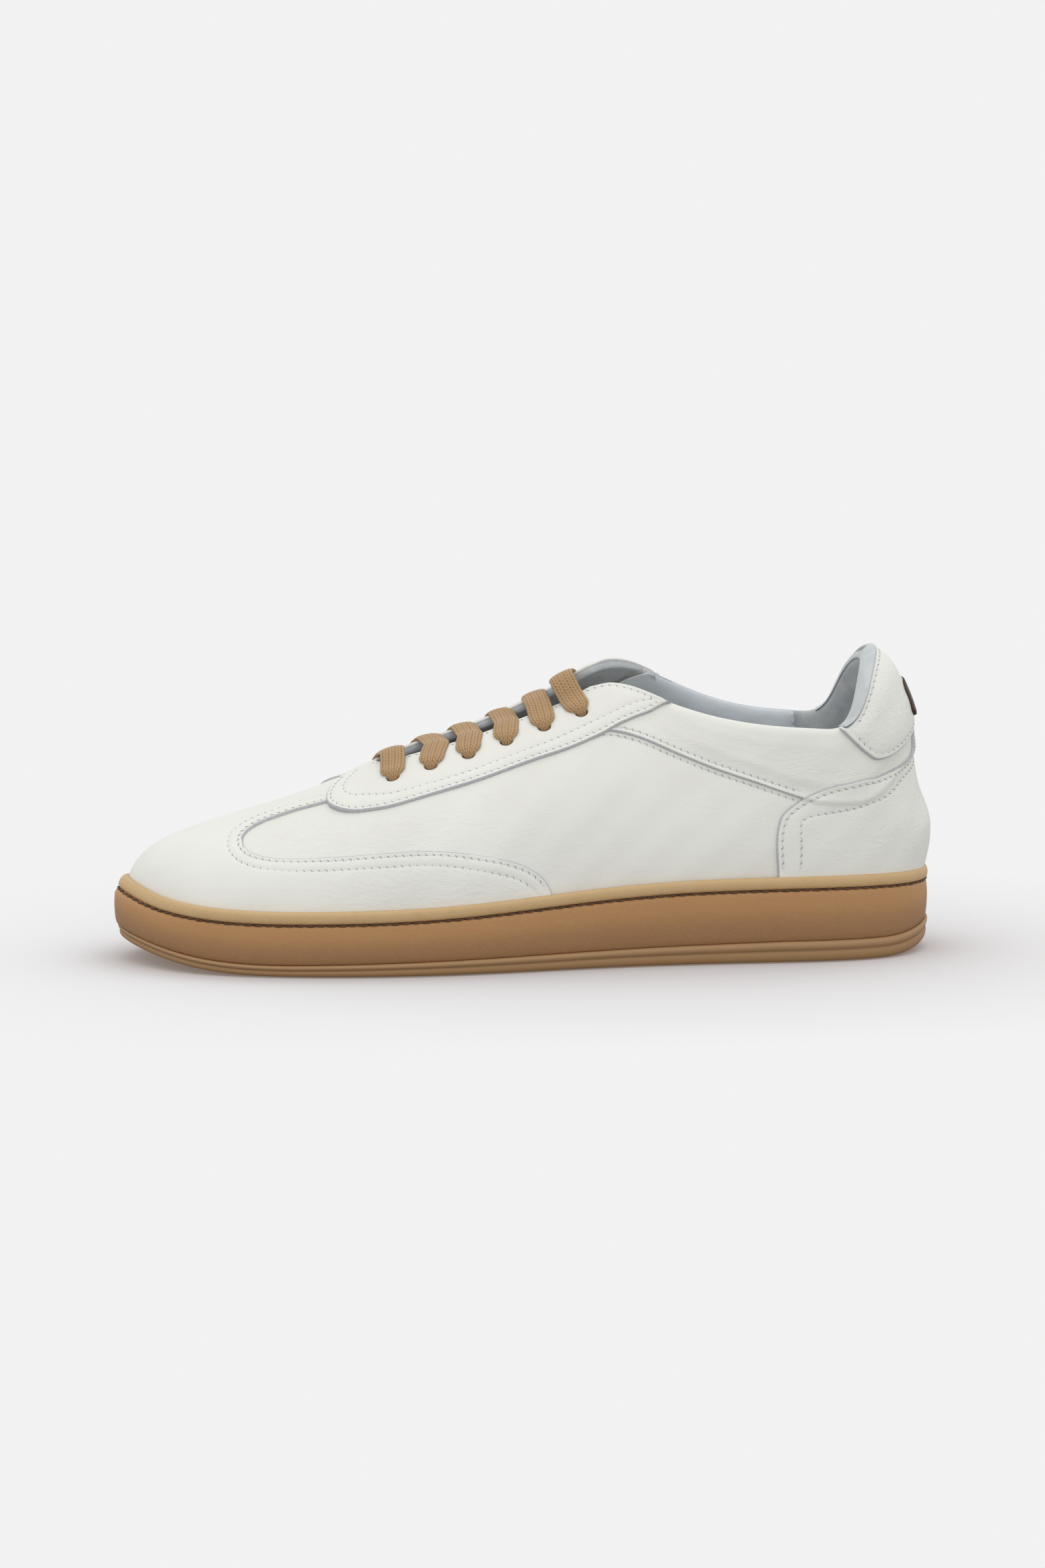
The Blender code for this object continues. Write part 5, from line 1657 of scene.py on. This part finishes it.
# ---------------------------------------------------------------------- lace
LACE_HALF, LACE_THICK = 4.7, .82
LACE_TOP = 2.45            # centre of a bar above the main leather
LACE_ARCH = (3.8, 3.4, 3.4, 1.0, 1.4, 5.6)  # rise of the bars at the middle
BAR_LEAN = (-2.0, -3.6, -2.0, -1.5, .4, 3.3)   # ridge ahead of the eyelet
SLUMP = .2                 # the bars slope down behind their summit
SUMMIT = 1.0               # the summits lie this far off the ridge
LACE_RUN = -4.4            # centre of a hidden run
LOOSE = .24                # hidden length of a loose end on the chart
BYPASS = .054              # hidden runs pass a middle eyelet at this height
HIDDEN = (1.9, .95)        # half sizes of a hidden run
BRAID_PITCH, BRAID_COLUMNS = 1.3, 8
EYELET_BEND = (            # length from the eyelet, height, half sizes
    (4.0, 2.55, LACE_HALF, .86),
    (2.7, 2.6, 4.45, .92), (1.5, 2.45, 3.9, 1.0), (.55, 2.05, 3.1, 1.1),
    (-.2, 1.1, 2.3, 1.1), (-.5, -.4, 1.75, 1.05))


def frame_at(u, v, side):
    """Point, outward normal, along and rising directions of the last."""
    v = v if side > 0 else 2 - v
    p = last(u, v)
    n = normal(u, v)
    along = last(u + .004, v) - last(u - .004, v)
    along = unit(along - n * (along @ n))
    rise = np.cross(n, along)
    if (CENTRE_Y(p[0]) - p[1]) * rise[1] < 0:
        rise = -rise
    return p, n, along, rise


def bar_side(row, side):
    """Point, normal and rising direction by length from an eyelet."""
    u, v = EYELETS[row]
    t = np.linspace(0, 1, 80)
    every = np.linspace(0, 1, 400)
    goal = last(u, v)[0] + BAR_LEAN[row]
    cross = np.interp(-goal, -TOP_X(every), every)
    c = np.stack([u + (cross - u) * np.sin(t * math.pi / 2),
                  v + (1 - v) * t], -1)
    if side < 0:
        c[:, 1] = 2 - c[:, 1]
    place = last(c[:, 0], c[:, 1])
    tables = place, normal(c[:, 0], c[:, 1]), unit(np.gradient(place, axis=0))
    s = length_of(place)

    def at(d):
        p, n, rise = (np.array([np.interp(d, s, q[:, k]) for k in range(3)])
                      for q in tables)
        n = unit(n)
        rise = unit(rise - n * (rise @ n))
        return p + rise * min(d, 0), n, rise
    return at, s[-1]


def into_eyelet(row, side, heading, travel):
    """Stations from the bar down through the eyelet to the hidden side.

    A station is a centre, a width direction, two half sizes, whether it is
    seen and whether its width direction has a fixed sign.
    """
    at, _ = bar_side(row, side)
    tilt = .12 * math.sin(row * 2.1 + side)
    result = []
    for d, height, half, thick in EYELET_BEND:
        p, n, rise = at(d)
        wide = np.cross(n, rise) * travel
        result.append((p + n * height, unit(wide + rise * tilt), half, thick,
                       1, 1))
    p, n, rise = at(0)
    along = np.cross(n, rise) * travel
    result.append((p - n * 2.6, along, 1.5, 1.1, 0, 1))
    _, _, along, rise = frame_at(*EYELETS[row], side)
    turn = unit(along * heading[0] + rise * heading[1])
    flat = rise if abs(heading[0]) > abs(heading[1]) else along
    result.append((p + n * LACE_RUN + turn * 2.2, flat, *HIDDEN, 0, 0))
    return result


def bar(row, side):
    """Lace bar that arches across the throat from the given side."""
    ends, tops = [], []
    for here, travel in ((side, 1), (-side, -1)):
        at, far = bar_side(row, here)
        p, n, rise = at(EYELET_BEND[0][0] + 1.4)
        ends.append((p + n * LACE_TOP, rise * travel,
                     np.cross(n, rise) * travel))
        p, n, _ = at(far)
        tops.append(p + n * (LACE_TOP + LACE_ARCH[row]))
    (p0, way0, wide0), (p2, way2, wide2) = ends
    p1 = (tops[0] + tops[1]) / 2 + (0, SUMMIT, 0)
    way1 = unit(p2 - p0)
    way1 = unit(way1 + (0, 0, SLUMP * way1[1]))
    wide1 = unit(wide0 + wide2)
    path = []
    for a, b, way_a, way_b, wide_a, wide_b in (
            (p0, p1, way0, way1, wide0, wide1),
            (p1, p2, way1, way2, wide1, wide2)):
        reach = np.linalg.norm(b - a)
        for t in (0, .25, .5, .75):
            p = ((1 + 2 * t) * (1 - t) ** 2 * a + t * t * (3 - 2 * t) * b
                 + reach * t * (1 - t) * ((1 - t) * way_a - t * way_b))
            path.append((p, unit(wide_a * (1 - t) + wide_b * t)))
    path.append((p2, wide2))
    return [(p, wide, LACE_HALF, LACE_THICK, 1, 1) for p, wide in path]


def hidden_run(row0, row1, side, step):
    """Hidden lace from one row to another, round a middle row."""
    if abs(row1 - row0) < 2:
        return []
    u, v = EYELETS[(row0 + row1) // 2]
    sign = 1 if row1 > row0 else -1
    result = []
    for du in (-.014, .014):
        p, n, _, rise = frame_at(u + du * sign, v + step, side)
        result.append((p + n * LACE_RUN, rise, *HIDDEN, 0, 0))
    return result


def loose_end(row, side):
    """Loose lace end that lies down the inside of the upper."""
    u, v = EYELETS[row]
    result = []
    for part in (.45, 1):
        p, n, along, _ = frame_at(u, v - LOOSE * part, side)
        result.append((p + n * (LACE_RUN - .3), along, *HIDDEN, 0, 0))
    return result


def lace_path():
    """Straight bar lacing from the rear medial end to the other end."""
    order = (
        # row, start side, row reached under the far side, step
        (5, -1, 3, BYPASS), (3, 1, 1, BYPASS), (1, -1, 0, 0),
        (0, 1, 2, -BYPASS), (2, -1, 4, -BYPASS), (4, 1, None, 0),
    )
    path = loose_end(5, -1)[::-1]
    came_from = (0, -1)
    for row, side, goal, step in order:
        path += into_eyelet(row, side, came_from, 1)[::-1]
        path += bar(row, side)
        if goal is None:
            path += into_eyelet(row, -side, (0, -1), -1)
            path += loose_end(row, -side)
            break
        sign = 1 if goal > row else -1
        lean = .3 * step / BYPASS
        path += into_eyelet(row, -side, (sign, lean), -1)
        path += hidden_run(row, goal, -side, step)
        came_from = (-sign, lean)
    return path


def swept(values, fine):
    """Catmull-Rom through station values; fine points per station gap."""
    q = np.concatenate([[values[0]], values, [values[-1]]])
    out = []
    for k, count in enumerate(fine):
        t = (np.arange(count) / count).reshape(-1, *[1] * (q.ndim - 1))
        out.append(catmull_rom(*q[k:k + 4], t))
    return np.concatenate([*out, q[-2:-1]])


def lace_sections(path):
    """Fine centres, width directions and half sizes."""
    centre = np.array([p[0] for p in path])
    wide = [station[1] for station in path]
    fixed = [station[5] for station in path]
    first = fixed.index(1)
    for k in (*range(first - 1, -1, -1), *range(first + 1, len(path))):
        beside_it = wide[k + 1] if k < first else wide[k - 1]
        if not fixed[k] and wide[k] @ beside_it < 0:
            wide[k] = -wide[k]
    size = np.array([p[2:4] for p in path], float)
    seen = np.array([p[4] for p in path])
    gap = np.linalg.norm(np.diff(centre, axis=0), axis=1)
    fine = np.where((seen[:-1] + seen[1:]) > 0, .27, 1.3)
    fine = np.maximum(np.round(gap / fine), 1).astype(int)
    return (swept(centre, fine), swept(np.array(wide), fine),
            swept(size, fine))


def make_lace():
    """Flat braid whose outer face keeps its strands in chevrons."""
    centre, wide, size = lace_sections(lace_path())
    tangent = unit(np.gradient(centre, axis=0))
    a = unit(wide - tangent * np.sum(wide * tangent, -1, keepdims=True))
    b = np.cross(tangent, a)
    s = length_of(centre)
    top_count, low_count = 33, 12
    x = np.concatenate([np.linspace(-1, 1, top_count),
                        np.linspace(1, -1, low_count + 2)[1:-1]])
    face = np.concatenate([np.ones(top_count), -np.ones(low_count)])
    bulge = (1 - np.abs(x) ** 3) ** .5
    column = np.clip((x + 1) / 2 * BRAID_COLUMNS, 0, BRAID_COLUMNS - .001)
    part = column - np.floor(column)
    sign = np.where(np.floor(column) % 2, -1, 1)
    wave = s[:, None] / BRAID_PITCH + (sign * (part - .5) * .8)[None]
    strand = .5 + .5 * np.cos(math.tau * wave)
    rib = np.clip(np.sin(math.pi * part), 0, 1) ** .6
    valley = np.where((np.floor(column + .5) % 2) > 0, .35, 1) + 0 * x
    weave_relief_and_shade = (.3 + .7 * strand) * (1 - (1 - rib) * (.85 - .3 * valley))[None]
    half_w, half_t = size[:, 0:1], size[:, 1:2]
    lift = .32 * (weave_relief_and_shade - .6) * np.clip(half_t, .6, 1)
    up = face * bulge * half_t + lift * face * (.3 + .7 * bulge)
    out = x * half_w * (1 + .02 * (strand - .5))
    # the band curls down at its edges where it is gathered
    pinch = np.clip(1 - half_w / LACE_HALF, 0, 1)
    up = up - (.5 * pinch * half_w + .3 * half_w / LACE_HALF) * x ** 2
    points = (centre[:, None] + a[:, None] * out[..., None]
              + b[:, None] * up[..., None])
    obj = mesh_object("lace", points.reshape(-1, 3),
                      tube_faces(*points.shape[:2]), [BRAID])
    # the same values that raise the strands paint shade into the gaps in the braid material
    point_values(obj, "weave_relief_and_shade", weave_relief_and_shade.ravel())
    set_out(obj, "shoe", "lace")
    tips = ((centre[0], 5, "lace_tip_rear"), (centre[-1], 4,
                                              "lace_tip_front"))
    for start, row, name in tips:
        make_tip(start, row, name)


TIP_SIDES = 14
TIP_RINGS = (              # length from the crimped mouth, radius
    (.9, .9), (1.1, 1.35), (2.4, 1.42), (12.6, 1.36), (14, 1.2), (14.4, .8))


def make_tip(start, row, name):
    """Round plastic tip with a crimped mouth."""
    u, v = EYELETS[row]
    _, n, along, rise = frame_at(u, v - LOOSE, -1)
    way = unit(-rise - n * .22)
    side = np.cross(way, along)
    a = np.arange(TIP_SIDES)[:, None] / TIP_SIDES * math.tau
    verts = np.vstack([start + way * reach + along * np.cos(a) * radius
                       + side * np.sin(a) * radius
                       for reach, radius in TIP_RINGS])
    obj = mesh_object(name, verts, tube_faces(len(TIP_RINGS), TIP_SIDES),
                      [AGLET])
    set_out(obj, "shoe", name)


# -------------------------------------------------------------------- tongue
TONGUE_END, TONGUE_DROP = -48.0, math.radians(10)
CREST = .58
UNDER_RIDGE = 6.6
FACE_T, PAD_T, BACK_T = 1.2, 2.9, .9
QUILT = 3.2                # the quilting seam lies this far from the edge
FILLING = 20               # frames of the filling simulation


def ridge_x_to_z():
    u = np.linspace(0, 1, 400)
    x = TOP_X(u)
    z = TOP_Z(u)
    order = np.argsort(x)
    return x[order], z[order]


RIDGE_X, RIDGE_Z = ridge_x_to_z()


def ridge_height(x):
    """Top of the raised tongue, below the instep ridge."""
    crest = TOP_X(CREST)
    slope = (TOP_Z(CREST) - TOP_Z(.5)) / (crest - TOP_X(.5))
    z = np.interp(x, RIDGE_X, RIDGE_Z)
    return np.where(x < crest, TOP_Z(CREST) + slope * (x - crest),
                    z) - UNDER_RIDGE


def tongue_place(x, y, depth):
    """Point of the resting tongue at a depth below its raised face."""
    t = np.clip((HINGE.x - x) / 85, 0, 1)
    bow = .0175 + .0075 * t
    rise = (ridge_height(x + 1) - ridge_height(x - 1)) / 2
    base = np.stack([x, y + CENTRE_Y(x), ridge_height(x) - bow * y * y], -1)
    n = unit(np.stack([-rise, 2 * bow * y, np.ones_like(x)], -1))
    p = base - n * np.reshape(depth, (-1, 1)) - np.array(HINGE)
    c, s = math.cos(-TONGUE_DROP), math.sin(-TONGUE_DROP)
    turned = np.stack([p[:, 0] * c + p[:, 2] * s, p[:, 1],
                       -p[:, 0] * s + p[:, 2] * c], -1)
    return turned + np.array(HINGE)


def tongue_half(x):
    t = (HINGE.x - x) / (HINGE.x - TONGUE_END)
    width = 11.5 + 5.5 * np.minimum(t * 1.7, 1)
    return width - 6 * np.clip((t - .9) / .1, 0, None) ** 2


def inflate(obj, held, pressure, cap):
    """Fill a closed soft piece with air by a cloth simulation, then apply.

    Held points stay put and no point moves further than the cap.
    """
    scene = bpy.context.scene
    count = len(obj.data.vertices)
    rest = np.empty(count * 3, np.float32)
    obj.data.vertices.foreach_get("co", rest)
    group = obj.vertex_groups.new(name="held")
    group.add(np.flatnonzero(held).tolist(), 1, "REPLACE")
    cloth = obj.modifiers.new("filling", "CLOTH")
    cloth.settings.quality = 6
    cloth.settings.mass = .1
    cloth.settings.tension_stiffness = 12
    cloth.settings.compression_stiffness = 12
    cloth.settings.bending_stiffness = .2
    cloth.settings.vertex_group_mass = "held"
    cloth.settings.effector_weights.gravity = 0
    cloth.settings.use_pressure = True
    cloth.settings.uniform_pressure_force = pressure
    cloth.point_cache.frame_start, cloth.point_cache.frame_end = 1, FILLING
    for step in range(1, FILLING + 1):
        scene.frame_set(step)
    graph = bpy.context.evaluated_depsgraph_get()
    full = np.empty(count * 3, np.float32)
    obj.evaluated_get(graph).data.vertices.foreach_get("co", full)
    obj.modifiers.remove(cloth)
    obj.vertex_groups.remove(group)
    scene.frame_set(1)
    shift = (full - rest).reshape(-1, 3)
    size = np.linalg.norm(shift, axis=1, keepdims=True)
    shift *= np.minimum(1, cap * MM / np.maximum(size, 1e-9))
    obj.data.vertices.foreach_set("co", rest + shift.ravel())
    obj.data.update()


def tongue_slab(name, look, top, depth, trim, shape=None, free=None,
                lower_free=False, pressure=4, cap=.4):
    """Rounded slab of the tongue with an optional relief and filling."""
    rows, cols = 60, 26
    front = HINGE.x - 1 - trim
    x = np.linspace(front, TONGUE_END + trim, rows)
    t = np.linspace(-1, 1, cols)
    half = tongue_half(x) - trim
    gx = np.repeat(x, cols)
    gy = (half[:, None] * t[None]).ravel()
    along = np.minimum((front - gx), (gx - (TONGUE_END + trim)))
    across = np.repeat(half, cols) - np.abs(gy)
    d = np.minimum(along, across)
    r = min(depth / 2, 1.8)
    k = 1 - np.clip(d / r, 0, 1)
    edge = r * (1 - np.sqrt(1 - k * k)) * .98
    lift = shape(gx, gy, d) if shape else 0 * gx
    upper = tongue_place(gx, gy, top + edge - lift)
    lower = tongue_place(gx, gy, top + depth - edge)
    verts = np.vstack([upper, lower])
    obj = mesh_object(name, verts, slab_faces(rows, cols), [look])
    if free:
        loose = free(d)
        inflate(obj, ~np.concatenate([loose, loose & lower_free]), pressure,
                cap)
    # a little wrinkle strength all over the tongue, which also paints a faint shade on its
    # leather
    point_values(obj, "crease_and_shade", np.full(len(verts), .35))
    set_out(obj, "tongue", name)


def make_tongue():
    """Leather face, filled pad and lining, which swing together."""
    def quilt(x, y, d):
        return -.3 * np.exp(-((d - QUILT) / .6) ** 2)
    tongue_slab("tongue_face", WHITE, 0, FACE_T, 0,
                shape=quilt, pressure=5, cap=.7,
                free=lambda d: (d > .5) & (np.abs(d - QUILT) > .8))
    tongue_slab("tongue_padding", FOAM, FACE_T + .5, PAD_T, 1.2,
                free=lambda d: d > .5, lower_free=True, pressure=4, cap=.35)
    tongue_slab("tongue_lining", LINING_HIDE, FACE_T + 4.0,
                BACK_T, .5)


# -------------------------------------------------------------------- studio
def hidden_nodes():
    """Procedural finishes for the CAD nodes that stay in the shoe."""
    for node, look in (("midsole_filler", FOAM), ("insole_board", BOARD)):
        obj = frame["nodes"][node]
        obj.data.materials.clear()
        obj.data.materials.append(look)


def aimed(name, data, place, aim):
    """Light or camera at a place, turned to a point."""
    obj = bpy.data.objects.new(name, data)
    obj.location = place
    obj.rotation_euler = (Vector(aim) - Vector(place)).to_track_quat(
        "-Z", "Y").to_euler()
    bpy.context.scene.collection.objects.link(obj)
    return obj


def area_light(name, place, size, power):
    data = bpy.data.lights.new(name, "AREA")
    data.shape = "RECTANGLE"
    data.size, data.size_y = size
    data.energy = power
    aimed(name, data, place, LIGHT_AIM)


LIGHT_AIM = 0, 0, .05
PALE = .89, .89, .89       # background, and floor away from the shoe
PAINTED_SHADOW_REACH = .17              # reach of the painted soft shadow round the shoe
FLOOR_HALF, FLOOR_GAP = 30.0, .0004
BOUNCE = .6                # light the floor throws back, of what it shows


def floor_material():
    """Pale ground that glows evenly, with a painted contact shadow that darkens it under the
    shoe.
    """
    n = Nodes("studio_floor", 1.0)
    painted_contact_shadow = n.add("ShaderNodeAmbientOcclusion")
    painted_contact_shadow.samples = 12
    n.put(painted_contact_shadow.inputs["Distance"], PAINTED_SHADOW_REACH)
    # painted shadow: the glow colour darkens to a warm grey where the shoe hides the floor from
    # the sky
    tone = n.ramp(painted_contact_shadow.outputs["AO"], (.0, (.20, .155, .13)),
                  (.4, (.39, .34, .32)), (.7, (.61, .575, .57)),
                  (.9, (.80, .79, .79)), (1.0, PALE))
    seen = n.add("ShaderNodeLightPath").outputs["Is Camera Ray"]
    glow = n.add("ShaderNodeEmission")
    n.put(glow.inputs["Color"], tone)
    n.put(glow.inputs["Strength"],
          n.maths("ADD", n.maths("MULTIPLY", seen, 1 - BOUNCE), BOUNCE))
    out = n.tree.nodes["Material Output"]
    n.tree.links.new(glow.outputs[0], out.inputs["Surface"])
    return n.material


def make_studio():
    scene = bpy.context.scene
    scene.view_settings.view_transform = "Standard"
    world = bpy.data.worlds.new("studio")
    scene.world = world
    world.use_nodes = True
    back = world.node_tree.nodes["Background"]
    back.inputs["Color"].default_value = (*PALE, 1)
    back.inputs["Strength"].default_value = 1.0
    mesh = bpy.data.meshes.new("floor")
    r = FLOOR_HALF
    mesh.from_pydata([(-r, -r, 0), (r, -r, 0), (r, r, 0), (-r, r, 0)], [],
                     [(0, 1, 2, 3)])
    floor = bpy.data.objects.new("floor", mesh)
    floor.location.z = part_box("outsole")[0].z - FLOOR_GAP
    mesh.materials.append(floor_material())
    scene.collection.objects.link(floor)
    area_light("key", (.5, 1.0, 1.3), (1.2, 1.0), 2.2)
    area_light("top", (0, -.1, 1.6), (1.6, 1.2), 3.5)
    area_light("side", (-1.2, .9, .6), (.9, .9), .5)


CAMERA_PLACE = .25421, 2.06652, .33582
CAMERA_AIM = .0004756, 0, .06171
CAMERA_LENS = 131.8        # millimetres on the default sensor


def make_camera():
    data = bpy.data.cameras.new("camera")
    data.lens = CAMERA_LENS
    bpy.context.scene.camera = aimed("camera", data, CAMERA_PLACE,
                                     CAMERA_AIM)


make_outsole()
make_cup()
make_sole_thread()
make_footbed()
make_toe()
make_sides()
make_collars()
make_heel()
make_eyestay()
make_linings()
make_stiffeners()
make_tongue()
make_lace()
hidden_nodes()
make_studio()
make_camera()
